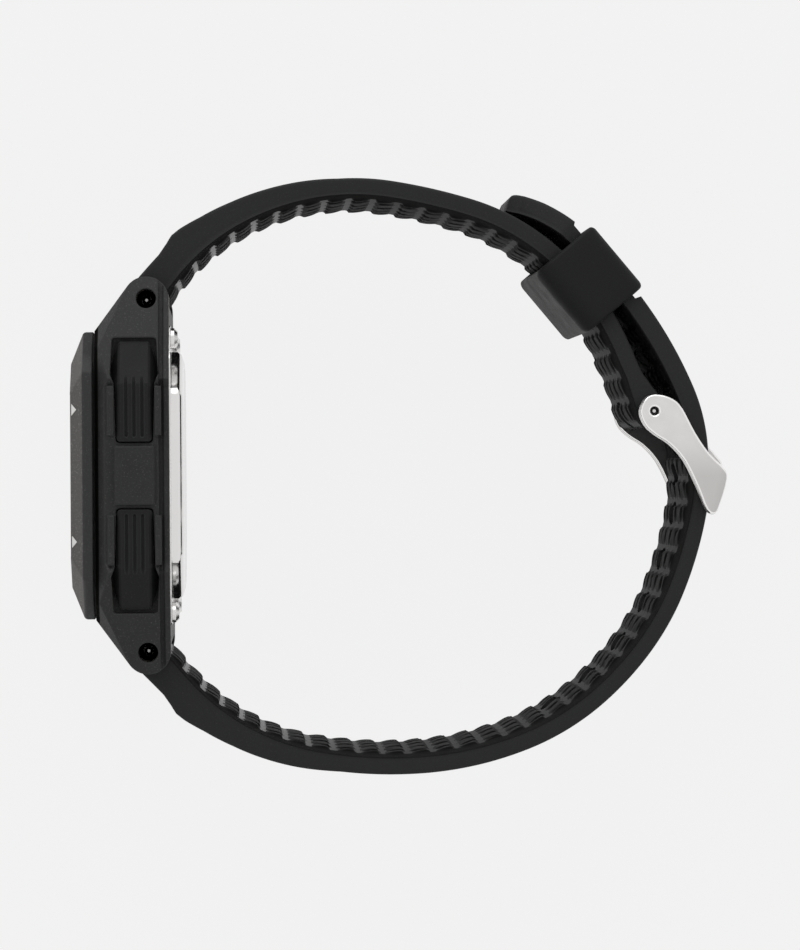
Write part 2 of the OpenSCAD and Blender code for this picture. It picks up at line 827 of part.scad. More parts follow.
// A coil of round wire that stands on the pocket floor round a stem, drawn pressed home
module coil(r, wire, h, turns) {
    steps = 10;
    sides = 5;
    count = turns * steps;
    polyhedron(
        [for (i = [0:count]) let (a = 360 * i / steps, z = wire + (h - 2 * wire) * i / count)
            for (j = [0:sides - 1]) let (b = 360 * j / sides)
                [(r + wire * cos(b)) * cos(a), (r + wire * cos(b)) * sin(a), z + wire * sin(b)]],
        [[for (j = [0:sides - 1]) j],
         for (i = [0:count - 1]) for (j = [0:sides - 1])
            let (p = i * sides + j, q = i * sides + (j + 1) % sides)
            each [[p, p + sides, q + sides], [p, q + sides, q]],
         [for (j = [0:sides - 1]) (count + 1) * sides - 1 - j]]);
}

module button_springs() {
    for (up = [true, false], near = [true, false]) place_button(up, near) color("silver")
        translate([0, button_y, pocket_z]) coil(stem_r + coil_gap, coil_wire_r, coil_h, coil_turns);
}

module button_seals() {
    for (up = [true, false], near = [true, false]) place_button(up, near) color("#111111")
        translate([0, button_y, cavity_z + fit / 2]) difference() {
            cylinder(r = seal_r - fit, h = seal_h - fit);
            translate([0, 0, -sink]) cylinder(r = stem_r + fit, h = through);
        }
}

// Strap

function strap_half_w(s, length, tail) =
    let (root = lookup(s, [[0, strap_root_w / 2], [strap_root_l, strap_w / 2]]),
        drawn = tail ? lookup((s - length) / tail_taper_l + 1, tail_curve) : 0)
    root - drawn * (strap_w - tail_tip_w) / 2;

function strap_outer(s, tail) = max(lookup(s, root_outer), tail ? half_t : lookup(s, end_boss));

function strap_inner(s, tail) = max(lookup(s, root_inner), tail ? half_t : lookup(s, end_boss));

// One cross-section, at place p, with half thicknesses o and i, half width w and rib height r
function strap_ring(p, o, i, w, r) =
    let (e = min(strap_edge, w / 4), m = w - e - rib_rim)
    [for (q = [[o, e - w], [o, w - e], [o - outer_fall * e, w], [-i + inner_fall * e, w], [-i, w - e], [-i, m],
        [-i - r, m - rib_slope], [-i - r, rib_slope - m], [-i, -m], [-i, e - w], [-i + inner_fall * e, -w],
        [o - outer_fall * e, -w]])
        [p[0] - q[0] * sin(p[2]), p[1] + q[0] * cos(p[2]), q[1]]];

// Distances along the strap at which it has a cross-section, each with its share of the rib height
function rib_stations(last) =
    let (n = floor((last - rib_first) / rib_pitch))
    [for (i = [0:n - 1]) for (f = rib_shape)
        [rib_first + (i + f[0]) * rib_pitch, f[1]]];

module skin(rings) {
    n = len(rings[0]);
    k = len(rings);
    polyhedron([for (r = rings) each r],
        [[for (j = [0:n - 1]) j],
         for (i = [0:k - 2]) for (j = [0:n - 1])
            let (p = i * n + j, q = i * n + (j + 1) % n)
            each [[p, p + n, q + n], [p, q + n, q]],
         [for (j = [0:n - 1]) k * n - 1 - j]]);
}

module strap_body(course, start, length, tail) {
    root = [for (k = [len(end_angles) - 1:-1:0]) let (a = end_angles[k])
        strap_ring(along(-root_back * sin(a), course, start),
            strap_outer(0) * cos(a), strap_inner(0) * cos(a), strap_root_w / 2, 0)];
    middle = [for (f = rib_stations(length - rib_last)) strap_ring(along(f[0], course, start),
        strap_outer(f[0], tail), strap_inner(f[0], tail), strap_half_w(f[0], length, tail), rib_h * f[1])];
    end = tail
        ? [for (s = [length - tail_lean_l, length]) let (f = s == length ? 2 * tail_lean - 1 : 1)
            strap_ring(along(s, course, start), half_t * f, half_t, strap_half_w(s, length, true), 0)]
        : [for (a = end_angles) strap_ring(along(length + end_boss_r * sin(a), course, start),
            end_boss_r * cos(a), end_boss_r * cos(a), strap_w / 2, 0)];
    skin(concat(root, middle, end));
}

// Moves to a distance along a strap: x along it, y outwards, z across
module at_strap(s, course, start, rise = 0) {
    p = along(s, course, start);
    translate([p[0], p[1], 0]) rotate([0, 0, p[2]]) translate([0, rise, 0]) children();
}

module upper_strap() {
    start = [bar_x, bar_y, upper_heading];
    raised() color("#28282a") difference() {
        strap_body(upper_course, start, upper_length, false);
        translate([bar_x, bar_y, 0]) cylinder(r = bar_r + fit, h = through, center = true);
        translate([pivot[0], pivot[1], 0]) cylinder(r = pin_r + fit, h = through, center = true);
        at_strap(upper_length, upper_course, start)
            translate([-tongue_slot_l, -strap_t * 2, -tongue_w / 2 - tongue_play])
                cube([strap_t * 4, strap_t * 4, tongue_w + 2 * tongue_play]);
    }
}

module lower_strap() {
    start = [bar_x, bar_y, lower_heading];
    keeper = keeper_centre();
    raised() color("#28282a") difference() {
        mirror([0, 1, 0]) difference() {
            strap_body(lower_course, start, lower_length, true);
            translate([bar_x, bar_y, 0]) cylinder(r = bar_r + fit, h = through, center = true);
            for (i = [0:hole_count - 1])
                at_strap(hole_at + (i - holes_before) * hole_step, lower_course, start)
                    rotate([90, 0, 0]) linear_extrude(strap_t * 4, center = true)
                        polygon(slot(hole_l, hole_w));
        }
        translate([keeper[0], keeper[1], 0]) rotate([0, 0, keeper[2]])
            translate([-tail_seat_l / 2, keeper_h / 2 - keeper_t - tail_seat_play, -strap_w])
                cube([tail_seat_l, strap_t * 2, 2 * strap_w]);
    }
}

module spring_bar(r, tip_r, body_l, tip_l) {
    fall = tip_r - tip_flat_r;
    cylinder(r = r, h = body_l, center = true);
    cylinder(r = tip_r, h = body_l + 2 * (tip_l - fall), center = true);
    both_z() translate([0, 0, body_l / 2 + tip_l - fall]) cylinder(r1 = tip_r, r2 = tip_flat_r, h = fall);
}

module upper_spring_bar() {
    raised() color("silver") translate([bar_x, bar_y, 0]) spring_bar(bar_r, bar_tip_r, bar_body_l, bar_tip_l);
}

module lower_spring_bar() {
    mirror([0, 1, 0]) upper_spring_bar();
}

// Buckle and keeper

module at_pivot() {
    raised() translate([pivot[0], pivot[1], 0]) rotate([0, 0, buckle_angle]) children();
}

module buckle_spring_bar() {
    at_pivot() color("silver") spring_bar(pin_r, pin_tip_r, 2 * (arm_in - pin_play), pin_tip_l + pin_play);
}

module buckle_frame() {
    outline = smooth(arm_outline);
    at_pivot() color("#d8d7d4") difference() {
        union() {
            both_z() translate([0, 0, arm_in]) linear_extrude(arm_t) polygon(outline);
            across(2 * (arm_in + cross_bite)) polygon(rounded(cross_bar, 4));
        }
        both_z() for (p = arm_end)
            beyond([p[0][0], p[0][1], arm_out - p[1]],
                [sin(p[2]) * cos(arm_end_turn), sin(p[2]) * sin(arm_end_turn), cos(p[2])]);
        cylinder(r = pin_tip_r + run, h = through, center = true);
    }
}

module buckle_tongue() {
    last = len(tongue_course) - 1;
    side = [for (i = [0:last])
        let (p = tongue_course[i], d = unit(tongue_course[min(i + 1, last)] - tongue_course[max(i - 1, 0)]),
            half = tongue_t / 2 * (i == last ? tongue_tip : 1))
        [p + half * [-d[1], d[0]], p - half * [-d[1], d[0]]]];
    at_pivot() color("#cfcecb") difference() {
        union() {
            across(tongue_w)
                polygon(concat([for (s = side) s[0]], [for (i = [last:-1:0]) side[i][1]]));
            cylinder(r = eye_r, h = tongue_w, center = true);
        }
        cylinder(r = pin_r + eye_play, h = through, center = true);
    }
}

// Middle and heading of the keeper
function keeper_centre() =
    let (p = along(keeper_at, upper_course, [bar_x, bar_y, upper_heading]))
    [p[0] - keeper_rise * sin(p[2]), p[1] + keeper_rise * cos(p[2]), p[2]];

module keeper() {
    c = keeper_centre();
    half_h = keeper_h / 2;
    half_z = strap_w / 2 + keeper_over;
    corners = [[1, 1], [-1, 1], [-1, -1], [1, -1]];
    raised() color("#252527") translate([c[0], c[1], 0]) rotate([0, 0, c[2]]) difference() {
        intersection() {
            across(3 * strap_w) polygon(rounded([for (k = corners)
                [k[0] * keeper_l / 2, k[1] * half_h, keeper_end_r]], 4));
            along_x(-keeper_l, keeper_l) polygon(rounded([for (k = corners)
                [k[0] * half_h, k[1] * half_z, keeper_corner_r]], 4));
        }
        along_x(-keeper_l, keeper_l) polygon(rounded([for (k = corners)
            [k[0] > 0 ? half_h - keeper_t : keeper_wrist_t - half_h,
                k[1] * (strap_w / 2 + keeper_side_play), keeper_inner_r]], 4));
    }
}

case_body();
bezel();
bezel_gasket();
crystal();
crystal_gasket();
dial_mask();
lcd_panel();
backlight_panel();
zebra_connector();
circuit_board();
module_frame();
battery();
battery_clip();
piezo_buzzer();
case_back();
case_back_gasket();
case_back_screws();
button_up();
button_down();
button_mode();
button_light();
clip_up();
clip_down();
clip_mode();
clip_light();
button_springs();
button_seals();
upper_strap();
lower_strap();
upper_spring_bar();
lower_spring_bar();
buckle_frame();
buckle_tongue();
buckle_spring_bar();
keeper();
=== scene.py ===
# %% [markdown]
# A midsize digital tide watch, buckled, that lies on its 9 o'clock flank. The hard pieces come from the
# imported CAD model, which also says where everything sits. This notebook dresses them: it gives each one its
# finish, and it makes the soft straps, the keeper and the display again as fine surfaces.

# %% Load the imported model
import json
import math

import bmesh
import bpy
import numpy as np
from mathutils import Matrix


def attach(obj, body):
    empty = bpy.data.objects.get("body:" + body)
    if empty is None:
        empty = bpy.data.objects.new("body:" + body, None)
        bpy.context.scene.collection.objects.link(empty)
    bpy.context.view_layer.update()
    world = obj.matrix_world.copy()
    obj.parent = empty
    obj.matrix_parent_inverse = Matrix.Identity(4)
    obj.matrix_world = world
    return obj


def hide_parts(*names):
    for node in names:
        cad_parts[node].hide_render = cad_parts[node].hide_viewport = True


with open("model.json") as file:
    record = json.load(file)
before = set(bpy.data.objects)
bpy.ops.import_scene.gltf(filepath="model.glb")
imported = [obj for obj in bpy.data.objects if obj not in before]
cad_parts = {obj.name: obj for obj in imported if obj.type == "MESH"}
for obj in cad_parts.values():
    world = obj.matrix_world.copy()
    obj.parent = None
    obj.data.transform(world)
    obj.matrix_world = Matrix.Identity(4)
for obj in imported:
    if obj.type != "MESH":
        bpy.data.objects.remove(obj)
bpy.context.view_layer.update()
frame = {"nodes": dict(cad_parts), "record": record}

MM = 0.001
nodes = frame["nodes"]
print("CAD nodes:", len(nodes))

# %% [markdown]
# All lengths below are in millimetres, and MM carries them over to Blender's metres. Two places come up again
# and again: the watch is 40 mm wide, so its middle plane stands 20 mm above the floor, and the spring bar of
# the upper strap lies at BAR in X and Y. The lower bar is its mirror image.

# %% Places that many pieces share
HALF_W = 20.0
BAR = np.array([1.3, 19.6])


def new_object(name, data):
    """An object of that data, in the scene."""
    made = bpy.data.objects.new(name, data)
    bpy.context.scene.collection.objects.link(made)
    return made


print("middle plane at", HALF_W, "and bars at", BAR, "mm")

# %% [markdown]
# The camera looks down on the 3 o'clock flank, as in the photograph. The photograph's straight line of sight
# stands left of its middle, so the camera is turned a little towards the buckle and its lens is shifted by
# a twentieth of the frame. A long lens keeps the strap's edges nearly parallel, and a small roll matches the
# tilt of the object in the frame.

# %% Camera
CAMERA_AT = np.array([9.5989, -0.0092, 381.4329])
LOOK_AT = np.array([24.7357, -0.101, 20.0])
ROLL = -0.0065
LENS = 118.0212
SHIFT = 0.05
NEAREST_SEEN = 10.0


def camera_turn(eye, target, roll):
    """Columns right, up and back: back points from target to eye, right is square to it and level, and then
    right and up both turn by roll."""
    back = (eye - target) / np.linalg.norm(eye - target)
    right = np.cross([0.0, 1.0, 0.0], back)
    right /= np.linalg.norm(right)
    up = np.cross(back, right)
    turned_right = right * math.cos(roll) + up * math.sin(roll)
    turned_up = up * math.cos(roll) - right * math.sin(roll)
    return np.column_stack([turned_right, turned_up, back])


def aim(made, eye, target, roll):
    """Stands a camera or a lamp at eye and turns it towards target."""
    matrix = np.eye(4)
    matrix[:3, :3] = camera_turn(eye, target, roll)
    matrix[:3, 3] = eye * MM
    made.matrix_world = matrix.T.tolist()


camera = new_object("camera", bpy.data.cameras.new("camera"))
camera.data.lens = LENS
camera.data.shift_x = SHIFT
camera.data.clip_start = NEAREST_SEEN * MM
aim(camera, CAMERA_AT, LOOK_AT, ROLL)
bpy.context.scene.camera = camera
bpy.context.scene.view_settings.view_transform = "Standard"
print("camera at", CAMERA_AT, "looking at", LOOK_AT)

# %% [markdown]
# Every finish below is a small tree of nodes. One helper adds a node, sets its fields and plugs its inputs,
# so that each material reads as a list of what it is made of.

# %% Helpers for node trees
MIX_SHARE, MIX_FIRST, MIX_SECOND, MIX_RESULT = 0, 6, 7, 2


def fill(tree, node, inputs):
    """Fills a node's inputs: a value that is a socket is linked, and any other is typed in."""
    for name, value in inputs.items():
        if isinstance(value, bpy.types.NodeSocket):
            tree.links.new(value, node.inputs[name])
        else:
            node.inputs[name].default_value = value


def add(tree, kind, inputs=None, **fields):
    """Adds a node, sets its fields and fills its inputs."""
    node = tree.nodes.new(kind)
    for name, value in fields.items():
        setattr(node, name, value)
    fill(tree, node, inputs or {})
    return node


def ramp(tree, value, low, high, bottom=0.0, top=1.0):
    """Carries value from the span low to high over to the span bottom to top, and stops at its ends."""
    node = add(tree, "ShaderNodeMapRange", {"Value": value, "From Min": low, "From Max": high,
        "To Min": bottom, "To Max": top})
    return node.outputs["Result"]


def mix_colour(tree, share, first, second):
    """The first colour where share is 0 and the second where it is 1."""
    node = add(tree, "ShaderNodeMix", {MIX_SHARE: share, MIX_FIRST: first, MIX_SECOND: second},
        data_type="RGBA")
    return node.outputs[MIX_RESULT]


def math_node(tree, operation, first, second=0.0):
    """One sum, product or comparison of two numbers."""
    return add(tree, "ShaderNodeMath", {0: first, 1: second}, operation=operation).outputs[0]


def axes_of(tree):
    """X, Y and Z of the object's own coordinates, in metres."""
    place = add(tree, "ShaderNodeTexCoord")
    return add(tree, "ShaderNodeSeparateXYZ", {"Vector": place.outputs["Object"]}).outputs


def grey(value, warm=0.0):
    """A grey of that linear value, a little redder and less blue for a warm one."""
    return (value * (1 + warm), value, value * (1 - warm), 1.0)


def new_material(name):
    """An empty material with its tree and its principled shader."""
    material = bpy.data.materials.new(name)
    material.use_nodes = True
    tree = material.node_tree
    return material, tree, tree.nodes["Principled BSDF"]


def new_group(name, inputs, outputs):
    """A node group with its sockets by name and kind, the values that it is given and its last node."""
    group = bpy.data.node_groups.new(name, "ShaderNodeTree")
    for socket, kind in inputs.items():
        group.interface.new_socket(socket, in_out="INPUT", socket_type=kind)
    for socket, kind in outputs.items():
        group.interface.new_socket(socket, in_out="OUTPUT", socket_type=kind)
    return group, group.nodes.new("NodeGroupInput").outputs, group.nodes.new("NodeGroupOutput")


# %% [markdown]
# Moulded and machined edges are never razor sharp, and the thin line of light along them is what makes a part
# look real. A Bevel node finds the nearby edges and turns the normal across them. The group below shares that
# with all finishes. It also tells how close the edge is, so that a highlight can be painted along the edge.

# %% Node group: soft edge
FLOAT, VECTOR = "NodeSocketFloat", "NodeSocketVector"
BEVEL_SAMPLES = 6
STILL_FLAT, WELL_ROUNDED = 0.995, 0.88


def make_soft_edge():
    """Normal: rounded over the given radius, with a height pressed into it. Edge: 1 where the rounded normal
    leaves the flat one, by the cosine between the two."""
    group, given, result = new_group("soft edge", {"Radius": FLOAT, "Height": FLOAT, "Depth": FLOAT},
        {"Normal": VECTOR, "Edge": FLOAT})
    rounded = add(group, "ShaderNodeBevel", {"Radius": given["Radius"]}, samples=BEVEL_SAMPLES)
    flat = add(group, "ShaderNodeNewGeometry")
    bump = add(group, "ShaderNodeBump", {"Height": given["Height"], "Distance": given["Depth"],
        "Strength": 1.0, "Normal": rounded.outputs["Normal"]})
    same = add(group, "ShaderNodeVectorMath", {0: rounded.outputs["Normal"], 1: flat.outputs["Normal"]},
        operation="DOT_PRODUCT")
    edge = ramp(group, same.outputs["Value"], STILL_FLAT, WELL_ROUNDED)
    fill(group, result, {"Normal": bump.outputs["Normal"], "Edge": edge})
    return group


soft_edge = make_soft_edge()
print("group:", soft_edge.name)

# %% [markdown]
# Black resin and rubber aren't one flat black. The mould leaves a fine grain, handling leaves paler specks,
# and broad clouds of slightly different shine show in a low light. Three noises of different scale give that.

# %% Node group: moulded grain
MIDDLE_SHARE, BROAD_SHARE = 0.45, 0.04
FINE_DETAIL, COARSE_DETAIL = 3.0, 2.0
SPECK_FROM, SPECK_TO = 0.6, 0.76
CLOUD_FROM, CLOUD_TO = 0.3, 0.7


def make_moulded_grain():
    """Height: fine noise at the given grain. Speck: the rare peaks of a middle noise. Cloud: broad slow
    noise. All of them run from 0 to 1."""
    group, given, result = new_group("moulded grain", {"Vector": VECTOR, "Grain": FLOAT},
        {"Height": FLOAT, "Speck": FLOAT, "Cloud": FLOAT})

    def noise(scale, detail):
        """A noise of that scale."""
        node = add(group, "ShaderNodeTexNoise", {"Vector": given["Vector"], "Scale": scale, "Detail": detail})
        return node.outputs["Fac"]

    middle = math_node(group, "MULTIPLY", given["Grain"], MIDDLE_SHARE)
    broad = math_node(group, "MULTIPLY", given["Grain"], BROAD_SHARE)
    speck = ramp(group, noise(middle, COARSE_DETAIL), SPECK_FROM, SPECK_TO)
    cloud = ramp(group, noise(broad, COARSE_DETAIL), CLOUD_FROM, CLOUD_TO)
    fill(group, result, {"Height": noise(given["Grain"], FINE_DETAIL), "Speck": speck, "Cloud": cloud})
    return group


moulded_grain = make_moulded_grain()
print("group:", moulded_grain.name)

# %% [markdown]
# Both groups go into every finish, so two helpers place them: one gives the grain on the object's own
# coordinates, and the other the soft edge that the grain is pressed into.

# %% Helpers: grain and edge
def grain_of(tree, grain):
    """The outputs of the moulded grain on the object's own coordinates."""
    place = add(tree, "ShaderNodeTexCoord")
    return add(tree, "ShaderNodeGroup", {"Vector": place.outputs["Object"], "Grain": grain},
        node_tree=moulded_grain).outputs


def edge_of(tree, radius, height, depth):
    """The outputs of the soft edge, with its radius and the depth of the grain in millimetres."""
    return add(tree, "ShaderNodeGroup", {"Radius": radius * MM, "Height": height, "Depth": depth * MM},
        node_tree=soft_edge).outputs


print("helpers for:", moulded_grain.name, "and", soft_edge.name)

# %% [markdown]
# Most of the watch is black resin, and its pieces differ only in how rough, pale or speckled they are. One
# function mixes such a resin from those numbers, and paints a highlight along its edges. A very low base
# colour is right here, because the clear outer skin of any plastic already throws back a few percent of the
# white room round it. The deep gap behind the bezel and the bores for the bars would catch too much of that
# room, so the case is painted dull black there as painted shade.

# %% Resins and rubbers
BORE_R = 1.1
GAP_FADE, BORE_FADE = (0.08, -0.04), (0.05, -0.03)
PAINTED_SHADE_BLACK = grey(0.001)
CLOUD_DARK, CLOUD_LIGHT = 0.8, 1.25
SPECK_WARMER = 0.06
SMOOTHER, ROUGHER = -0.05, 0.07
SHEEN_ROUGH = 0.3
SHEEN_TINT = (1.0, 0.96, 0.89, 1.0)
BEHIND_BEZEL = -4.0


def paint_shade_in_gaps(tree, shader, colour, rough, level):
    """Painted shade: dull black in front of the level along X, and inside the bores, by the distance from
    their
    axes: the root of the sum of two squares."""
    axes = axes_of(tree)
    front = ramp(tree, axes["X"], *((level + fade) * MM for fade in GAP_FADE))
    side = math_node(tree, "SUBTRACT", axes["X"], BAR[0] * MM)
    height = math_node(tree, "SUBTRACT", math_node(tree, "ABSOLUTE", axes["Y"]), BAR[1] * MM)
    squares = [math_node(tree, "MULTIPLY", length, length) for length in (side, height)]
    distance = math_node(tree, "SQRT", math_node(tree, "ADD", *squares))
    bore = ramp(tree, distance, *((BORE_R + fade) * MM for fade in BORE_FADE))
    # painted shade: both masks turn the resin dull black, with no gloss
    dark = math_node(tree, "MAXIMUM", front, bore)
    fill(tree, shader, {"Base Color": mix_colour(tree, dark, colour, PAINTED_SHADE_BLACK), "Metallic": dark,
        "Roughness": math_node(tree, "MAXIMUM", rough, dark)})


def black_resin(name, base, speck, edge_highlight, rough, specular=0.3, grain=9000.0, radius=0.14, depth=0.02, warm=0.0,
        sheen=0.0, shade_before=None):
    """Base colour, paler towards speck on the peaks of the grain, and paler along the edges as a painted
    highlight. Sheen lightens grazing faces. Given a level, the gaps and bores get painted shade."""
    material, tree, shader = new_material(name)
    noise = grain_of(tree, grain)
    edge = edge_of(tree, radius, noise["Height"], depth)
    clouded = mix_colour(tree, noise["Cloud"], grey(base * CLOUD_DARK, warm), grey(base * CLOUD_LIGHT, warm))
    specked = mix_colour(tree, noise["Speck"], clouded, grey(speck, warm + SPECK_WARMER))
    colour = mix_colour(tree, edge["Edge"], specked, grey(edge_highlight, warm))
    dullness = ramp(tree, noise["Cloud"], 0.0, 1.0, rough + SMOOTHER, rough + ROUGHER)
    fill(tree, shader, {"Base Color": colour, "Roughness": dullness, "Normal": edge["Normal"],
        "Specular IOR Level": specular, "Sheen Weight": sheen, "Sheen Roughness": SHEEN_ROUGH,
        "Sheen Tint": SHEEN_TINT})
    if shade_before is not None:
        paint_shade_in_gaps(tree, shader, colour, dullness, shade_before)
    return material


# Each resin's third tone is a painted highlight along its edges, and the case gets painted shade in its gaps.
case_resin = black_resin("case resin", base=0.010, speck=0.07, edge_highlight=0.022, rough=0.48, specular=0.32,
    grain=15000.0, radius=0.26, depth=0.03, warm=-0.03, sheen=0.1, shade_before=BEHIND_BEZEL)
button_resin = black_resin("button resin", base=0.006, speck=0.02, edge_highlight=0.034, rough=0.52, specular=0.2,
    grain=14000.0, radius=0.16, warm=-0.03, sheen=0.02)
keeper_rubber = black_resin("keeper rubber", base=0.005, speck=0.009, edge_highlight=0.006, rough=0.6, specular=0.2,
    radius=0.05, warm=-0.04, sheen=0.03)
gasket_rubber = black_resin("gasket rubber", base=0.008, speck=0.012, edge_highlight=0.01, rough=0.6)
print("resins:", case_resin.name, button_resin.name, keeper_rubber.name, gasket_rubber.name)

# %% [markdown]
# The bezel is the same kind of resin. Its sloping chamfer is painted a warm grey with bright specks on its
# grain: painted light and painted glints, for the grazing light that the slope catches from the side. The
# slope lies in front of a known level, so the X of the object's own coordinates picks it out. The side is
# painted a little darker at its 12 o'clock end, as painted shade where it turns away from the light.

# %% Bezel resin
CHAMFER_BACK, CHAMFER_FADE = -5.74, 0.05
UPPER_END_FROM, UPPER_END_TO = 12.6, 13.6
# painted light: the slope's warm grey and its bright specks stand for grazing light and glints
SLOPE_PAINTED_LIGHT, SLOPE_PAINTED_GLINT = grey(0.056, 0.05), grey(0.32, 0.07)
# The second tone here is painted shade for the side's 12 o'clock end, which turns away from the light.
SIDE_TONE, UPPER_END_SHADE, SIDE_SPARK = grey(0.020, -0.03), grey(0.004), grey(0.07)
SIDE_ROUGH, SLOPE_ROUGH = 0.45, 0.6


def make_bezel_resin():
    """Black behind the chamfer's level, and in front of it painted light: warm grey with painted glints."""
    material, tree, shader = new_material("bezel resin")
    noise = grain_of(tree, grain=15000.0)
    edge = edge_of(tree, radius=0.2, height=noise["Height"], depth=0.03)
    axes = axes_of(tree)
    front = ramp(tree, axes["X"], (CHAMFER_BACK + CHAMFER_FADE) * MM, (CHAMFER_BACK - CHAMFER_FADE) * MM)
    # painted shade towards the side's 12 o'clock end
    upper_end_shade = ramp(tree, axes["Y"], UPPER_END_FROM * MM, UPPER_END_TO * MM)
    slope = mix_colour(tree, noise["Speck"], SLOPE_PAINTED_LIGHT, SLOPE_PAINTED_GLINT)
    plain_side = mix_colour(tree, upper_end_shade, SIDE_TONE, UPPER_END_SHADE)
    side = mix_colour(tree, noise["Speck"], plain_side, SIDE_SPARK)
    fill(tree, shader, {"Base Color": mix_colour(tree, front, side, slope), "Normal": edge["Normal"],
        "Roughness": ramp(tree, front, 0.0, 1.0, SIDE_ROUGH, SLOPE_ROUGH), "Specular IOR Level": 0.3,
        "Sheen Weight": 0.06, "Sheen Roughness": SHEEN_ROUGH, "Sheen Tint": SHEEN_TINT})
    return material


bezel_resin = make_bezel_resin()
print("bezel:", bezel_resin.name)

# %% [markdown]
# The steel pieces differ in their last step. The back and the screws are polished and mirror the straps round
# them. The buckle is blasted with glass beads, which leaves an even satin grain, and then its edges are
# polished bright. Pins, clips and springs are turned or drawn, with fine lines along them. Every steel is
# painted a little paler along its edges as a painted highlight. The lower end of the buckle bends away from
# the light, and painted shade makes its tone a little darker there.

# %% Steels
LOW_SHADE_FROM, LOW_SHADE_TO = 4.0, -0.5
TONE_DARK, TONE_LIGHT, TONE_EDGE_HIGHLIGHT, BRIGHTEST = 0.97, 1.02, 1.08, 0.97
LOW_SHADE_WARMER = 1.5


def steel(name, tone, rough, grain, depth, radius, cloud=0.03, warm=0.01, shaded_share=1.0):
    """Metal of that tone, whose fine grain presses the normal and whose clouds change the roughness, and
    which is painted paler along its edges as a painted highlight. As painted shade, its tone falls to the
    given share of itself over a span along Y."""
    material, tree, shader = new_material(name)
    noise = grain_of(tree, grain)
    edge = edge_of(tree, radius, noise["Height"], depth)
    body = mix_colour(tree, noise["Cloud"], grey(tone * TONE_DARK, warm), grey(tone * TONE_LIGHT, warm))
    if shaded_share < 1.0:
        # painted shade: the tone darkens towards the lower end along Y
        low = ramp(tree, axes_of(tree)["Y"], LOW_SHADE_FROM * MM, LOW_SHADE_TO * MM)
        body = mix_colour(tree, low, body, grey(tone * shaded_share, warm * LOW_SHADE_WARMER))
    # painted highlight: a paler tone along the edges
    edge_highlight_tone = grey(min(tone * TONE_EDGE_HIGHLIGHT, BRIGHTEST), warm)
    fill(tree, shader, {"Base Color": mix_colour(tree, edge["Edge"], body, edge_highlight_tone), "Metallic": 1.0,
        "Roughness": ramp(tree, noise["Cloud"], 0.0, 1.0, rough - cloud, rough + cloud),
        "Normal": edge["Normal"]})
    return material


back_steel = steel("polished back steel", tone=0.76, rough=0.12, grain=3000.0, depth=0.0006, radius=0.16)
screw_steel = steel("screw steel", tone=0.78, rough=0.26, grain=4000.0, depth=0.0008, radius=0.08)
small_steel = steel("turned steel", tone=0.62, rough=0.24, grain=9000.0, depth=0.003, radius=0.05)
blasted_steel = steel("bead blasted steel", tone=0.69, rough=0.42, grain=14000.0, depth=0.02, radius=0.05,
    cloud=0.04, warm=0.015, shaded_share=0.78)
# The spring bars' steel is darker than the rest: painted shade for their tips deep in the bores.
shaded_tip_steel = steel("bar tip steel", tone=0.3, rough=0.16, grain=9000.0, depth=0.002, radius=0.1)
shaded_steel = steel("shaded inner steel", tone=0.09, rough=0.5, grain=16000.0, depth=0.012, radius=0.05)
bright_bevel = steel("polished bevel", tone=0.90, rough=0.16, grain=6000.0, depth=0.001, radius=0.05)
print("steels:", back_steel.name, screw_steel.name, small_steel.name, blasted_steel.name, bright_bevel.name)

# %% [markdown]
# Inside the case are the pieces of the movement. They hardly show, but each still has the look of its real
# material: a green board with darker copper lines, a pink rubber strip with fine black stripes, a milky light
# panel, a pale moulded frame, a bright coin cell and brass contacts.

# %% Materials of the movement
STRIPE_EDGE = 0.25
STRIPE_SPREAD, MOULDED_SPREAD = 0.05, 0.04


def striped(name, first, second, pitch, rough, axis):
    """Even bands of two colours across one axis of the object: the sign of a sine with that pitch."""
    material, tree, shader = new_material(name)
    noise = grain_of(tree, grain=5000.0)
    edge = edge_of(tree, radius=0.05, height=noise["Height"], depth=0.004)
    turns = math_node(tree, "MULTIPLY", axes_of(tree)[axis], 2 * math.pi / (pitch * MM))
    share = ramp(tree, math_node(tree, "SINE", turns), -STRIPE_EDGE, STRIPE_EDGE)
    fill(tree, shader, {"Base Color": mix_colour(tree, share, first, second), "Normal": edge["Normal"],
        "Roughness": ramp(tree, noise["Cloud"], 0.0, 1.0, rough - STRIPE_SPREAD, rough + STRIPE_SPREAD)})
    return material


def moulded(name, light, dark, rough, metallic=0.0):
    """A plain piece between two close tones, with grain in its surface."""
    material, tree, shader = new_material(name)
    noise = grain_of(tree, grain=4000.0)
    edge = edge_of(tree, radius=0.08, height=noise["Height"], depth=0.004)
    fill(tree, shader, {"Base Color": mix_colour(tree, noise["Cloud"], dark, light), "Metallic": metallic,
        "Roughness": ramp(tree, noise["Cloud"], 0.0, 1.0, rough - MOULDED_SPREAD, rough + MOULDED_SPREAD),
        "Normal": edge["Normal"]})
    return material


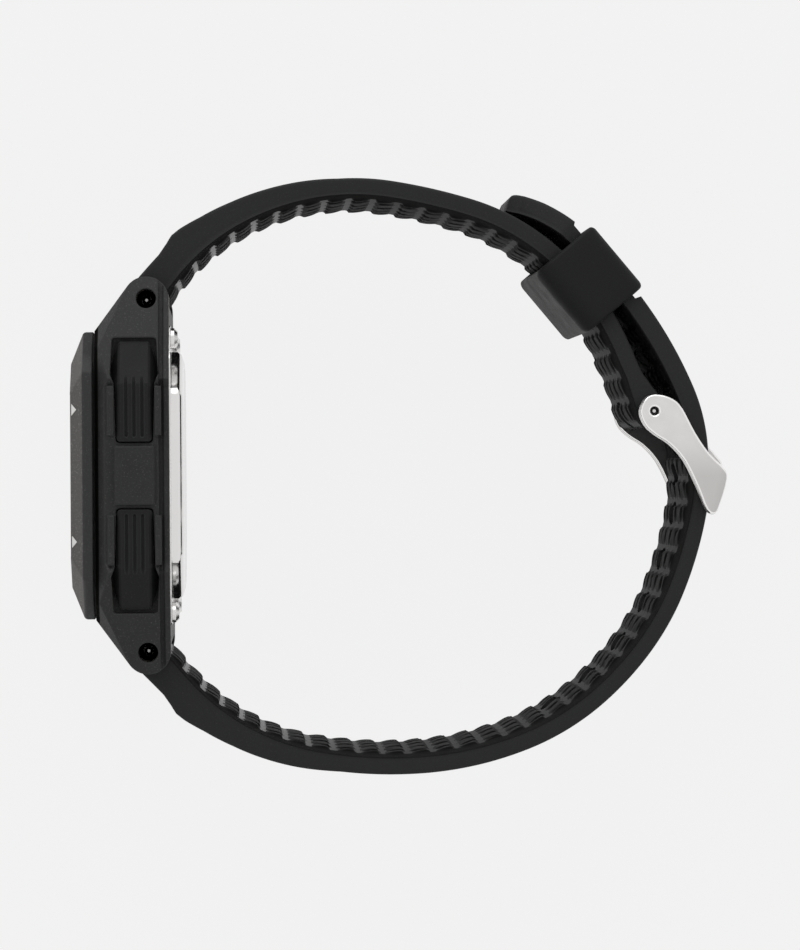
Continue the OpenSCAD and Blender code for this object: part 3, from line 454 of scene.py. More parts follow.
PINK_RUBBER, BLACK_STRIPE = (0.55, 0.32, 0.30, 1), (0.05, 0.045, 0.045, 1)
BOARD_GREEN, COPPER_GREEN = (0.012, 0.11, 0.035, 1), (0.02, 0.17, 0.06, 1)
contact_strip = striped("striped contact rubber", PINK_RUBBER, BLACK_STRIPE, pitch=0.18, rough=0.6, axis="Z")
circuit_board = striped("circuit board", BOARD_GREEN, COPPER_GREEN, pitch=0.9, rough=0.35, axis="Y")
light_panel = moulded("milky light panel", (0.78, 0.84, 0.84, 1), (0.72, 0.79, 0.79, 1), rough=0.4)
frame_resin = moulded("pale frame resin", (0.78, 0.76, 0.71, 1), (0.7, 0.68, 0.63, 1), rough=0.5)
cell_steel = moulded("coin cell steel", (0.72, 0.72, 0.71, 1), (0.62, 0.62, 0.61, 1), rough=0.22,
    metallic=1.0)
contact_brass = moulded("contact brass", (0.78, 0.58, 0.24, 1), (0.68, 0.48, 0.18, 1), rough=0.25,
    metallic=1.0)
mask_print = moulded("printed mask", (0.012, 0.012, 0.013, 1), (0.008, 0.008, 0.009, 1), rough=0.5)
print("movement:", contact_strip.name, circuit_board.name, light_panel.name, frame_resin.name)

# %% [markdown]
# The liquid crystal panel is a grey green with a faint sheen, and the crystal over it is clear mineral glass.
# For glass the transmission stays a plain number, so that the export carries it over.

# %% Display and crystal
display_glass = moulded("liquid crystal", (0.36, 0.39, 0.31, 1), (0.32, 0.35, 0.28, 1), rough=0.25)
display_ink = moulded("display ink", (0.02, 0.022, 0.02, 1), (0.015, 0.017, 0.015, 1), rough=0.4)
mask_white = moulded("white print", (0.75, 0.75, 0.73, 1), (0.68, 0.68, 0.66, 1), rough=0.55)
GLASS_DULL, GLASS_CLEAR = (0.95, 0.97, 0.97, 1), (0.97, 0.98, 0.98, 1)
CLEAREST, DULLEST = 0.01, 0.03


def make_crystal_glass():
    """Clear glass, with a polish whose roughness drifts very slightly."""
    material, tree, shader = new_material("mineral glass")
    cloud = grain_of(tree, grain=400.0)["Cloud"]
    fill(tree, shader, {"Base Color": mix_colour(tree, cloud, GLASS_DULL, GLASS_CLEAR),
        "Roughness": ramp(tree, cloud, 0.0, 1.0, CLEAREST, DULLEST), "Transmission Weight": 1.0, "IOR": 1.5})
    return material


crystal_glass = make_crystal_glass()
print("display:", display_glass.name, crystal_glass.name)

# %% [markdown]
# Each CAD node now gets its finish. Its mesh is never touched, only its material.

# %% Finishes of the CAD nodes
FINISHES = {
    "case_body": case_resin, "bezel": bezel_resin, "bezel_gasket": gasket_rubber, "crystal": crystal_glass,
    "crystal_gasket": gasket_rubber, "dial_mask": mask_print, "lcd_panel": display_glass,
    "backlight_panel": light_panel, "zebra_connector": contact_strip, "circuit_board": circuit_board,
    "module_frame": frame_resin, "battery": cell_steel, "battery_clip": contact_brass,
    "piezo_buzzer": contact_brass, "case_back": back_steel, "case_back_gasket": gasket_rubber,
    "case_back_screws": screw_steel, "button_up": button_resin, "button_down": button_resin,
    "button_mode": button_resin, "button_light": button_resin, "clip_up": small_steel,
    "clip_down": small_steel, "clip_mode": small_steel, "clip_light": small_steel,
    "button_springs": small_steel, "button_seals": gasket_rubber, "upper_strap": keeper_rubber,
    "lower_strap": keeper_rubber, "upper_spring_bar": shaded_tip_steel, "lower_spring_bar": shaded_tip_steel,
    "buckle_frame": blasted_steel, "buckle_tongue": blasted_steel, "buckle_spring_bar": small_steel,
    "keeper": keeper_rubber}


def finish_node(name, material):
    """Puts the material in every slot of the node's object."""
    for slot in nodes[name].material_slots:
        slot.material = material


for node_name, node_material in FINISHES.items():
    finish_node(node_name, node_material)
print("finished nodes:", len(FINISHES))

# %% [markdown]
# New pieces are surfaces on a grid: rows run along the piece and columns run round it. One helper turns such
# a grid of points into a mesh in one go, closes its ends and makes sure that its faces look outwards.

# %% Helper: a mesh from a grid of points
def signed_volume(points, quads):
    """Sum of the tetrahedra between the origin and the two triangles of each quad. It is negative if the
    faces look inwards."""
    a, b, c, d = (points[quads[:, k]] for k in range(4))
    first = np.einsum("ij,ij->i", a, np.cross(b, c)).sum()
    second = np.einsum("ij,ij->i", a, np.cross(c, d)).sum()
    return (first + second) / 6


def grid_faces(rows, columns, closed_rows):
    """Quads between neighbours of a grid whose columns always close, and whose rows close if asked."""
    last = rows if closed_rows else rows - 1
    row, column = np.meshgrid(np.arange(last), np.arange(columns), indexing="ij")
    below, beside = (row + 1) % rows, (column + 1) % columns
    corners = [row * columns + column, row * columns + beside, below * columns + beside,
        below * columns + column]
    return np.stack(corners, -1).reshape(-1, 4)


def mesh_object(name, points, loops, starts):
    """A mesh object from flat arrays: points in millimetres, the corners of all faces in a row, and the place
    in that row where each face starts."""
    mesh = bpy.data.meshes.new(name)
    mesh.vertices.add(len(points))
    mesh.vertices.foreach_set("co", (points * MM).astype(np.float32).ravel())
    mesh.loops.add(len(loops))
    mesh.loops.foreach_set("vertex_index", loops.astype(np.int32))
    mesh.polygons.add(len(starts))
    mesh.polygons.foreach_set("loop_start", starts.astype(np.int32))
    mesh.update(calc_edges=True)
    mesh.validate()
    mesh.shade_smooth()
    return new_object(name, mesh)


def grid_object(name, grid, closed_rows=False):
    """A closed surface over a grid of rows, columns and coordinates, with a flat cap on each open end."""
    rows, columns = grid.shape[:2]
    points = grid.reshape(-1, 3)
    quads = grid_faces(rows, columns, closed_rows)
    flip = signed_volume(points, quads) < 0
    quads = quads[:, ::-1] if flip else quads
    loops, starts = quads.ravel(), np.arange(len(quads)) * 4
    if not closed_rows:
        first = np.arange(columns)[::-1]
        last = (rows - 1) * columns + np.arange(columns)
        caps = [first[::-1], last[::-1]] if flip else [first, last]
        starts = np.concatenate([starts, [len(loops), len(loops) + columns]])
        loops = np.concatenate([loops, caps[0], caps[1]])
    made = mesh_object(name, points, loops, starts)
    print(name, "faces:", len(made.data.polygons))
    return made


def dress(piece, material, body, slot, *stands_for):
    """Gives a piece its material and its body, and hides the nodes that it stands for. The slot is not used.
    """
    if material:
        piece.data.materials.append(material)
    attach(piece, body)
    if stands_for:
        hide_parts(*stands_for)
    return piece


# %% [markdown]
# The straps follow a course of arcs, the same as in the CAD source: each arc has a length and a turn, and a
# point on it lies where a walk of that length ends. The walk is worked out for all distances at once.

# %% The course of a strap
UPPER_COURSE = [[6, -3], [8, -19], [9, -18.5], [9, -19], [9, -8], [11, -24.5], [14, -26.5], [7.2, 8]]
LOWER_COURSE = [[6, 2], [8, -17], [9, -20], [12, -14], [12, -17.5], [12, -24], [12, -21.5], [12, -15.5],
    [2.9, -9.5], [1.5, 0], [7.6, -21.5], [10, -12], [10, -8], [13, -41]]
UPPER_HEADING, LOWER_HEADING = 50.5, 45.5
TAIL_CUT_BACK = 3.0
UPPER_LENGTH = sum(arc[0] for arc in UPPER_COURSE)
LOWER_LENGTH = sum(arc[0] for arc in LOWER_COURSE) - TAIL_CUT_BACK
NEARLY_STRAIGHT = 1e-9


def walk(distance, course, heading):
    """Place and heading after a distance. On an arc of radius r the place moves by r times the change of sine
    and cosine. Before the bar the course runs straight on backwards."""
    lengths = np.array([arc[0] for arc in course], float)
    turns = np.radians([arc[1] for arc in course])
    turns = np.where(turns == 0, NEARLY_STRAIGHT, turns)
    radii = lengths / turns
    headings = np.radians(heading) + np.concatenate([[0], np.cumsum(turns)[:-1]])
    steps = radii[:, None] * np.stack([np.sin(headings + turns) - np.sin(headings),
        np.cos(headings) - np.cos(headings + turns)], -1)
    starts = BAR + np.concatenate([[[0, 0]], np.cumsum(steps, 0)[:-1]])
    passed = np.concatenate([[0], np.cumsum(lengths)])
    arc = np.clip(np.searchsorted(passed, distance, "right") - 1, 0, len(course) - 1)
    before = distance < 0
    bend = np.where(before, 0, (distance - passed[arc]) / radii[arc])
    angle = headings[arc] + bend
    x = starts[arc, 0] + radii[arc] * (np.sin(angle) - np.sin(headings[arc]))
    y = starts[arc, 1] + radii[arc] * (np.cos(headings[arc]) - np.cos(angle))
    x = np.where(before, BAR[0] + distance * np.cos(headings[0]), x)
    y = np.where(before, BAR[1] + distance * np.sin(headings[0]), y)
    return x, y, angle


def on_upper(distance):
    """Place and heading on the upper strap after one distance."""
    return (value[0] for value in walk(np.array([distance]), UPPER_COURSE, UPPER_HEADING))


buckle_x, buckle_y, buckle_heading = on_upper(UPPER_LENGTH)
print("buckle bar at", round(buckle_x, 3), round(buckle_y, 3))

# %% [markdown]
# A strap is one closed skin round that course. Its section is a flat outer face with rounded edges, two side
# walls, and a wrist side with a smooth margin along each wall. Between the margins the wrist side stands a
# little proud in the middle and carries ribs: domes across the strap, each split by thin wavy grooves along
# it. Near the case the strap swells to fill the lugs, and it ends in a round eye for the bar.

# %% The section of a strap
HALF_T = 1.075
ROOT_OUTER = np.array([[0, 2.3], [1.5, 2.45], [4.8, 2.4], [6.2, 2.6], [7.2, 2.85], [8.3, 2.75], [10.6, 2.3],
    [14, 1.9], [18, 1.6], [26, HALF_T]])
ROOT_INNER = np.array([[0, 1.45], [2.7, 1.2], [5, HALF_T]])
ROOT_REACH, ROOT_ROWS = 2.2, 10
FIRST_TURN, LAST_TURN = 84, 6
STRAP_HALF_W, ROOT_HALF_W, ROOT_TAPER = 10.0, 10.8, 20.0
OUTER_EDGE, LIP = 0.3, 0.08
MARGIN_W, MARGIN_RISE = 1.8, 0.24
CROWN = 0.25
THIN_EDGE, THIN_RISE, THIN_LIP = 0.4, 0.35, 0.1
NARROW_EDGE, NARROW_MARGIN = 4, 3
LEAST_RELIEF = 0.02
RELIEF_FROM, RELIEF_FULL = -1, 3
FACE_COLUMNS, EDGE_COLUMNS, WALL_COLUMNS, MARGIN_COLUMNS, RIB_COLUMNS = 13, 4, 4, 3, 86
ROW_STEP = 0.24
WALL, MARGIN, RIBBED, RIDGE = 0, 1, 2, 3


def smooth(low, high, value):
    """0 below low, 1 above high and an even S between them: three times the square less twice the cube."""
    t = np.clip((value - low) / (high - low), 0, 1)
    return t * t * (3 - 2 * t)


def section(outer, inner, half_width, relief):
    """Offsets outwards and across for every row, all round, and the part of each column: wall, margin or
    ribbed. The sizes shrink by fixed shares where the strap is thin or narrow."""
    outer, inner, w, relief = (value[:, None] for value in (outer, inner, half_width, relief))
    crown = CROWN * relief
    edge = np.minimum(OUTER_EDGE, np.minimum(THIN_EDGE * outer, w / NARROW_EDGE))
    rise = np.minimum(MARGIN_RISE, THIN_RISE * inner) * np.maximum(relief, LEAST_RELIEF)
    lip = np.minimum(LIP, THIN_LIP * inner)
    zone = w - np.minimum(MARGIN_W, w / NARROW_MARGIN)
    turn = np.linspace(0, math.pi / 2, EDGE_COLUMNS + 1)[None, 1:]
    share = np.linspace(0, 1, WALL_COLUMNS + 2)[None, 1:-1]
    step = np.linspace(0, 1, MARGIN_COLUMNS + 1)[None, 1:]
    wall_end = -(inner - rise)
    low = wall_end + lip
    bend_down, bend_in = lip * (1 - np.cos(turn)), lip * (1 - np.sin(turn))
    side = [
        (outer - edge * (1 - np.cos(turn)), w - edge * (1 - np.sin(turn)), WALL),
        (outer - edge + (low - outer + edge) * share, w + 0 * share, WALL),
        (low - bend_down, w - bend_in - lip * (1 - np.cos(turn)) ** 2, MARGIN),
        (wall_end - rise * step, w - lip + (zone - w + lip) * step, MARGIN)]
    face = np.linspace(-1, 1, FACE_COLUMNS)[None, :]
    ribbed = np.linspace(1, -1, RIB_COLUMNS)[None, 1:-1]
    parts = [(outer + 0 * face, face * (w - edge), WALL)] + side
    parts += [(-inner - crown * (1 - ribbed ** 2), zone * ribbed, RIBBED)]
    parts += [(offset[:, ::-1], -across[:, ::-1], kind) for offset, across, kind in side[::-1]]
    out = np.concatenate([part[0] for part in parts], 1)
    across = np.concatenate([part[1] for part in parts], 1)
    kinds = np.concatenate([np.full(part[0].shape[1], part[2]) for part in parts])
    return out, across, kinds


def root_rows():
    """Rows round the eye at the case's bar: the distance goes back by a sine and the thickness falls by the
    cosine."""
    turn = np.radians(np.linspace(FIRST_TURN, LAST_TURN, ROOT_ROWS))
    return -ROOT_REACH * np.sin(turn), ROOT_OUTER[0, 1] * np.cos(turn), ROOT_INNER[0, 1] * np.cos(turn)


print("upper strap", UPPER_LENGTH, "mm, lower strap", LOWER_LENGTH, "mm")

# %% [markdown]
# The ribs are a pattern on two numbers: how far along the strap a point lies and how far across. Marks say
# which rib stands at which distance, and the rib's own profile rises steeply and falls as a dome. Grooves run
# along the strap in lanes that sway from rib to rib, so that no two ribs are cut alike.

# %% Ribs of the wrist side
RIB_H = 0.3
UPPER_RIBS = np.array([[-1.82, -2], [4.0, 0], [50.6, 16], [76.7, 25]])
LOWER_RIBS = np.array([[-1.31, -2], [4.5, 0], [45.2, 14], [121.2, 41]])
VALLEY, STEEP, TOP = 0.11, 0.1, 0.32
GROOVE_PITCH, GROOVE_FLOOR, GROOVE_HALF, GROOVE_DEPTH = 3.3, 0.1, 0.62, 0.85
WAVER, WAVER_ACROSS, WAVER_BY_RIB = 0.035, 1.9, 2.1
SWAYS = ((0.5, 2.3, 0, 0), (0.28, 1.7, 4.4, 0), (0.16, 0, 0, 5.1))
RIBS_FROM, RIBS_FADE, SIDE_FADE = -1.5, 0.4, 0.5


def ribs_at(distance, across, marks, steep_last):
    """Height share of the wrist side. Along a rib: a steep rise and a dome that falls as a square, or the
    same backwards. A lane sways by a sum of sines of the rib's number, the place along it and across it."""
    place = np.interp(distance, *marks.T)
    bent = place + WAVER * np.sin(WAVER_ACROSS * across + WAVER_BY_RIB * np.floor(place))
    number = np.floor(bent)
    part = np.clip(bent - number, 0, 1)
    part = 1 - part if steep_last else part
    dome = 1 - (np.maximum(part - TOP, 0) / (1 - VALLEY - TOP)) ** 2
    rib = smooth(VALLEY, VALLEY + STEEP, part) * np.clip(dome, 0, 1)
    sway = 0
    for size, by_rib, along, over in SWAYS:
        sway = sway + size * np.sin(by_rib * number + along * part + over * across)
    lane = (across + sway) / GROOVE_PITCH
    off = np.abs(lane - np.round(lane)) * GROOVE_PITCH
    return rib * (1 - GROOVE_DEPTH * (1 - smooth(GROOVE_FLOOR, GROOVE_HALF, off)))


def strap_grid(course, heading, rows, marks, last, steep_last):
    """Points of the skin: place on the course plus the section's offset along the outward normal. The ribs
    stand between RIBS_FROM and last."""
    distance, outer, inner, half_width, relief = rows
    out, across, kinds = section(outer, inner, half_width, relief)
    begun = smooth(RIBS_FROM, RIBS_FROM + RIBS_FADE, distance)
    ended = smooth(last - RIBS_FADE, last, distance)
    raised = ribs_at(distance[:, None], across, marks, steep_last)
    raised = raised * (kinds == RIBBED)[None, :] * (begun * (1 - ended))[:, None]
    raised *= smooth(0.0, SIDE_FADE, half_width[:, None] - MARGIN_W - np.abs(across))
    out = out - RIB_H * raised
    x, y, angle = walk(distance, course, heading)
    points = np.stack([x[:, None] - out * np.sin(angle)[:, None], y[:, None] + out * np.cos(angle)[:, None],
        across + HALF_W], -1)
    return points, raised, kinds


rib_pitch = (LOWER_RIBS[2, 0] - LOWER_RIBS[1, 0]) / (LOWER_RIBS[2, 1] - LOWER_RIBS[1, 1])
print("rib pitch", round(rib_pitch, 2), "mm")

# %% [markdown]
# Holes are cut out of the finished skin with a Boolean modifier, which is applied at once. The cutters are
# plain prisms: a slot with round ends for each adjusting hole, round ones for the bars and a box for the
# tongue.

# %% Helper: prisms that cut
SAME_PLACE = 0.001
WHOLE_WIDTH = 30.0


def slot_outline(length, width, count=10):
    """Half circles at both ends of a straight stretch along x."""
    turn = np.linspace(-np.pi / 2, np.pi / 2, count)
    reach = (length - width) / 2
    right = np.stack([reach + width / 2 * np.cos(turn), width / 2 * np.sin(turn)], -1)
    return np.concatenate([right, -right])


def prism(outline, origin, along, across, deep):
    """Points and faces of an outline swept from minus deep to plus deep."""
    flat = origin + outline[:, :1] * along + outline[:, 1:] * across
    count = len(outline)
    points = np.concatenate([flat - deep, flat + deep])
    index = np.arange(count)
    sides = np.stack([index, (index + 1) % count, (index + 1) % count + count, index + count], -1)
    return points, [list(side) for side in sides] + [list(index[::-1]), list(index + count)]


def upright(radius, x, y, count=40):
    """A round prism across the whole watch, for a bar."""
    turn = np.linspace(0, 2 * np.pi, count, endpoint=False)
    outline = radius * np.stack([np.cos(turn), np.sin(turn)], -1)
    return prism(outline, np.array([x, y, HALF_W]), np.array([1.0, 0, 0]), np.array([0, 1.0, 0]),
        np.array([0, 0, WHOLE_WIDTH]))


def outward_mesh(name, points, faces):
    """A mesh of closed shells, from points in millimetres, with all its faces turned outwards."""
    mesh = bpy.data.meshes.new(name)
    mesh.from_pydata(points * MM, [], faces)
    shape = bmesh.new()
    shape.from_mesh(mesh)
    bmesh.ops.recalc_face_normals(shape, faces=shape.faces)
    shape.to_mesh(mesh)
    shape.free()
    return mesh


def cut(piece, prisms):
    """Takes prisms out of a piece, applies the cut and merges points that fall together."""
    points, faces, base = [], [], 0
    for some_points, some_faces in prisms:
        faces += [[base + corner for corner in face] for face in some_faces]
        points.append(some_points)
        base += len(some_points)
    cutter = new_object("cutter", outward_mesh("cutter", np.concatenate(points), faces))
    modifier = piece.modifiers.new("holes", "BOOLEAN")
    modifier.object = cutter
    modifier.operation = "DIFFERENCE"
    modifier.solver = "EXACT"
    modifier.use_self = True
    done = bpy.data.meshes.new_from_object(piece.evaluated_get(bpy.context.evaluated_depsgraph_get()))
    shape = bmesh.new()
    shape.from_mesh(done)
    bmesh.ops.remove_doubles(shape, verts=shape.verts, dist=SAME_PLACE * MM)
    shape.to_mesh(done)
    shape.free()
    piece.modifiers.clear()
    piece.data = done
    bpy.data.objects.remove(cutter)
    print(piece.name, "after the cuts:", len(done.polygons), "faces")


# %% [markdown]
# Strap rubber is matt and dark on its walls. The margins of the wrist side are duller still, as are all
# places where the straps lie on each other. Between them the floors of the valleys and grooves are smooth and
# catch the room, most of all near the steel back, where their colour is painted paler as a painted reflection
# of the room and turns to painted shade further off. The ribs themselves are painted nearly black, as painted
# shade.

# %% Strap rubber
NEAR_THE_CASE, FAR_FROM_IT = 13.0, 30.0
# painted reflection and painted shade: the near tones are paler for the room mirrored in the valleys, the far
# tone darker
NEAR_LIT_LOW, NEAR_LIT_HIGH, FAR_SHADED_TONE = grey(0.010, 0.04), grey(0.018, 0.04), grey(0.006)
NEAR_ROUGH, FAR_ROUGH = 0.34, 0.62
RIDGE_FROM = 0.12


def make_valley_rubber():
    """Smooth rubber of the valleys and grooves, glossier near the case. Its colour is paler there as a
    painted reflection of the room, and darker further off as painted shade, by the object's X.
    """
    material, tree, shader = new_material("valley rubber")
    noise = grain_of(tree, grain=14000.0)
    edge = edge_of(tree, radius=0.03, height=noise["Height"], depth=0.006)
    far = ramp(tree, axes_of(tree)["X"], NEAR_THE_CASE * MM, FAR_FROM_IT * MM)
    near_lit_tone = mix_colour(tree, noise["Cloud"], NEAR_LIT_LOW, NEAR_LIT_HIGH)
    fill(tree, shader, {"Base Color": mix_colour(tree, far, near_lit_tone, FAR_SHADED_TONE), "Normal": edge["Normal"],
        "Roughness": ramp(tree, far, 0.0, 1.0, NEAR_ROUGH, FAR_ROUGH), "Specular IOR Level": 0.16})
    return material


# Here too the third tone is a painted highlight along the edges.
strap_rubber = black_resin("strap rubber", base=0.008, speck=0.024, edge_highlight=0.01, rough=0.58, specular=0.27,
    grain=14000.0, radius=0.04, warm=-0.04, sheen=0.03)
margin_rubber = black_resin("margin rubber", base=0.013, speck=0.018, edge_highlight=0.013, rough=0.9, specular=0.04,
    grain=14000.0, radius=0.04)
valley_rubber = make_valley_rubber()
# painted shade: the ribs get a darker rubber than the walls
shaded_ridge_rubber = black_resin("ridge rubber", base=0.004, speck=0.008, edge_highlight=0.005, rough=0.62, specular=0.05,
    grain=14000.0, radius=0.03, depth=0.008)


def dress_strap(piece, raised, kinds, dull, *holes):
    """Gives each face the rubber of its column, the darker ridge rubber of painted shade where it stands high
    and margin rubber in dull rows, and cuts the holes."""
    columns = len(kinds)
    faces = (len(raised) - 1) * columns
    row, column = np.divmod(np.arange(faces), columns)
    beside = (column + 1) % columns
    index = np.zeros(len(piece.data.polygons), np.int32)
    skin = index[:faces]
    skin[:] = np.minimum(kinds[column], kinds[beside])
    ribbed = skin == RIBBED
    high = raised[row, column] + raised[row + 1, beside] > 2 * RIDGE_FROM
    skin[ribbed & high] = RIDGE
    skin[ribbed & dull[row]] = MARGIN
    for material in (strap_rubber, margin_rubber, valley_rubber, shaded_ridge_rubber):
        piece.data.materials.append(material)
    piece.data.polygons.foreach_set("material_index", index)
    cut(piece, holes)


print("rubbers:", strap_rubber.name, margin_rubber.name, valley_rubber.name, shaded_ridge_rubber.name)

# %% [markdown]
# The upper strap carries the buckle. Its far end swells into an eye round the buckle's bar, with a slot for
# the tongue, so its rows go round that eye in the same way as at the case.

# %% Upper strap
EYE_R, EYE_ROWS = 1.85, 12
EYE_SWELLS = np.array([[-4.5, HALF_T], [-2, 1.5], [0, EYE_R]])
ROWS_STOP_SHORT, EYE_FADE = 0.05, 1
RIBS_PAST_BUCKLE, DULL_PAST_BUCKLE = 1.4, 1.2
BAR_HOLE_R, BUCKLE_HOLE_R = 0.95, 0.9
TONGUE_SLOT = np.array([[-2.4, -1.2], [5, -1.2], [5, 1.2], [-2.4, 1.2]])
SLOT_DEPTH = 5.0


def upper_rows():
    """Distance, outer and inner half thickness, half width and relief of each row of the upper strap."""
    back, back_outer, back_inner = root_rows()
    middle = np.arange(0, UPPER_LENGTH - ROWS_STOP_SHORT, ROW_STEP)
    swell = np.interp(middle, UPPER_LENGTH + EYE_SWELLS[:, 0], EYE_SWELLS[:, 1])
    turn = np.radians(np.linspace(0, FIRST_TURN, EYE_ROWS))
    distance = np.concatenate([back, middle, UPPER_LENGTH + EYE_R * np.sin(turn)])
    middle_outer = np.maximum(np.interp(middle, *ROOT_OUTER.T), swell)
    middle_inner = np.maximum(np.interp(middle, *ROOT_INNER.T), swell)
    outer = np.concatenate([back_outer, middle_outer, EYE_R * np.cos(turn)])
    inner = np.concatenate([back_inner, middle_inner, EYE_R * np.cos(turn)])
    half_width = np.interp(distance, [0, ROOT_TAPER], [ROOT_HALF_W, STRAP_HALF_W])
    eye = smooth(UPPER_LENGTH - EYE_FADE, UPPER_LENGTH + EYE_FADE, distance)
    return distance, outer, inner, half_width, smooth(RELIEF_FROM, RELIEF_FULL, distance) * (1 - eye)


upper = upper_rows()
upper_points, upper_raised, kinds = strap_grid(UPPER_COURSE, UPPER_HEADING, upper, UPPER_RIBS,
    last=UPPER_LENGTH + RIBS_PAST_BUCKLE, steep_last=False)
upper_strap = grid_object("moulded_upper_strap", upper_points)
eye_along = np.array([math.cos(buckle_heading), math.sin(buckle_heading), 0])
eye_out = np.array([-math.sin(buckle_heading), math.cos(buckle_heading), 0])
tongue_slot = prism(TONGUE_SLOT, np.array([buckle_x, buckle_y, HALF_W]), eye_along, np.array([0, 0, 1.0]),
    eye_out * SLOT_DEPTH)
dress_strap(upper_strap, upper_raised, kinds, upper[0] > UPPER_LENGTH + DULL_PAST_BUCKLE,
    upright(BAR_HOLE_R, *BAR), upright(BUCKLE_HOLE_R, buckle_x, buckle_y), tongue_slot)
dress(upper_strap, None, "root", "strap", "upper_strap")

# %% [markdown]
# The lower strap is the long one, with adjusting holes and a tapered tip. It is written as seen in a mirror,
# so its points are turned over at the end. Where its tail lies in the keeper, the real strap is pressed a
# little thinner, and so it is squeezed between its wrist side and the keeper's ceiling.

# %% Lower strap
KEEPER_AT, KEEPER_RISE, KEEPER_H, KEEPER_T = 56.6, 0.49, 8.5, 0.94
TAIL_SEAT_L, TAIL_GAP = 10.5, 0.13
TAIL_FROM, TAIL_FADE_FROM, TAIL_FADE_TO = 87.0, 86.0, 92.0
RIBS_BEFORE_TIP = 2
TIP_L, TIP_ROWS, OUTER_FALL, INNER_FALL = 1.2, 7, 0.6, 0.12
DRAWN_IN = np.array([[-7, 0], [-3.5, 0.9], [-1.4, 2.2], [0, 4]])
PUSHED_FROM, PUSHED_TO = (57, 72), (81, 86.5)
PUSHED_OUT, PUSHED_IN = 0.24, 0.32

keeper_x, keeper_y, keeper_angle = on_upper(KEEPER_AT)
keeper_x -= KEEPER_RISE * math.sin(keeper_angle)
keeper_y += KEEPER_RISE * math.cos(keeper_angle)


def lower_rows():
    """Distance, half thicknesses, half width and relief of each row. At the tip the thickness falls as a cube
    and the sides draw in."""
    back, back_outer, back_inner = root_rows()
    middle = np.arange(0, LOWER_LENGTH - TIP_L, ROW_STEP)
    tip = LOWER_LENGTH - TIP_L + TIP_L * np.sin(np.radians(np.linspace(0, 90, TIP_ROWS)))
    fall = np.linspace(0, 1, TIP_ROWS) ** 3
    distance = np.concatenate([back, middle, tip])
    outer = np.concatenate([back_outer, np.interp(middle, *ROOT_OUTER.T), HALF_T * (1 - OUTER_FALL * fall)])
    inner = np.concatenate([back_inner, np.interp(middle, *ROOT_INNER.T), HALF_T * (1 - INNER_FALL * fall)])
    half_width = np.interp(distance, [0, ROOT_TAPER], [ROOT_HALF_W, STRAP_HALF_W])
    drawn = np.interp(distance - LOWER_LENGTH, *DRAWN_IN.T)
    pushed = smooth(*PUSHED_FROM, distance) * (1 - smooth(*PUSHED_TO, distance))
    relief = smooth(RELIEF_FROM, RELIEF_FULL, distance) * (1 - smooth(TAIL_FADE_FROM, TAIL_FADE_TO, distance))
    return distance, outer + PUSHED_OUT * pushed, inner - PUSHED_IN * pushed, half_width - drawn, relief


def press_under_keeper(points):
    """In the keeper's own frame, squeezes each row in the seat evenly: heights over the row's lowest one are
    scaled until the highest meets the ceiling."""
    along = np.array([math.cos(keeper_angle), math.sin(keeper_angle)])
    out = np.array([-math.sin(keeper_angle), math.cos(keeper_angle)])
    place = points[..., :2] - np.array([keeper_x, keeper_y])
    ahead, height = place @ along, place @ out
    low, top = height.min(1, keepdims=True), height.max(1, keepdims=True)
    ceiling = KEEPER_H / 2 - KEEPER_T - TAIL_GAP
    inside = np.abs(ahead.mean(1, keepdims=True)) < TAIL_SEAT_L / 2
    seated = inside & (np.abs(low) < ceiling) & (top > ceiling)
    pressed = low + (height - low) * (ceiling - low) / (top - low)
    points[..., :2] -= np.where(seated, height - pressed, 0)[..., None] * out
    return points


lower = lower_rows()
lower_points, lower_raised, kinds = strap_grid(LOWER_COURSE, LOWER_HEADING, lower, LOWER_RIBS,
    last=LOWER_LENGTH - RIBS_BEFORE_TIP, steep_last=True)
lower_points[..., 1] *= -1
lower_points = press_under_keeper(lower_points)
lower_strap = grid_object("moulded_lower_strap", lower_points)

# %% [markdown]
# The adjusting holes lie in the valleys between ribs. The one that the tongue passes through, and those under
# and beyond the buckle, follow an even step. Those nearer the case are given by the rib that they stand at,
# and the table of ribs turns that into a distance.

# %% Holes of the lower strap
HOLE_AT, HOLE_STEP, HOLES_AFTER = 89.5, 5.3, 4
SHOWN_HOLES = np.array([16.5, 18.5, 20.5, 22.5, 24.5, 26.5, 28.2])
USED_HOLE, FREE_HOLE = (4.1, 2.4), (3.4, 2.7)
HOLE_DEPTH = 4


def hole_prisms():
    """One slot prism for each adjusting hole, on the course and square to it, turned over like the strap."""
    near_case = np.interp(SHOWN_HOLES, *LOWER_RIBS.T[::-1])
    at = np.concatenate([near_case, HOLE_AT + np.arange(HOLES_AFTER + 1) * HOLE_STEP])
    upwards = np.array([0, 0, 1.0])
    prisms = []
    for distance, x, y, angle in zip(at, *walk(at, LOWER_COURSE, LOWER_HEADING)):
        along = np.array([math.cos(angle), -math.sin(angle), 0])
        out = np.array([-math.sin(angle), -math.cos(angle), 0])
        size, axes = (USED_HOLE, (along, upwards)) if distance == HOLE_AT else (FREE_HOLE, (upwards, along))
        prisms.append(prism(slot_outline(*size), np.array([x, -y, HALF_W]), *axes, HOLE_DEPTH * out))
    return prisms


dress_strap(lower_strap, lower_raised, kinds, lower[0] > TAIL_FROM, *hole_prisms(),
    upright(BAR_HOLE_R, BAR[0], -BAR[1]))
dress(lower_strap, None, "root", "strap", "lower_strap")

# %% [markdown]
# The keeper is a soft moulded loop. Its skin is a rounded rectangle carried round a larger rounded rectangle,
# which makes one closed ring with no seam. The wall is thicker on the wrist side than over the tail.

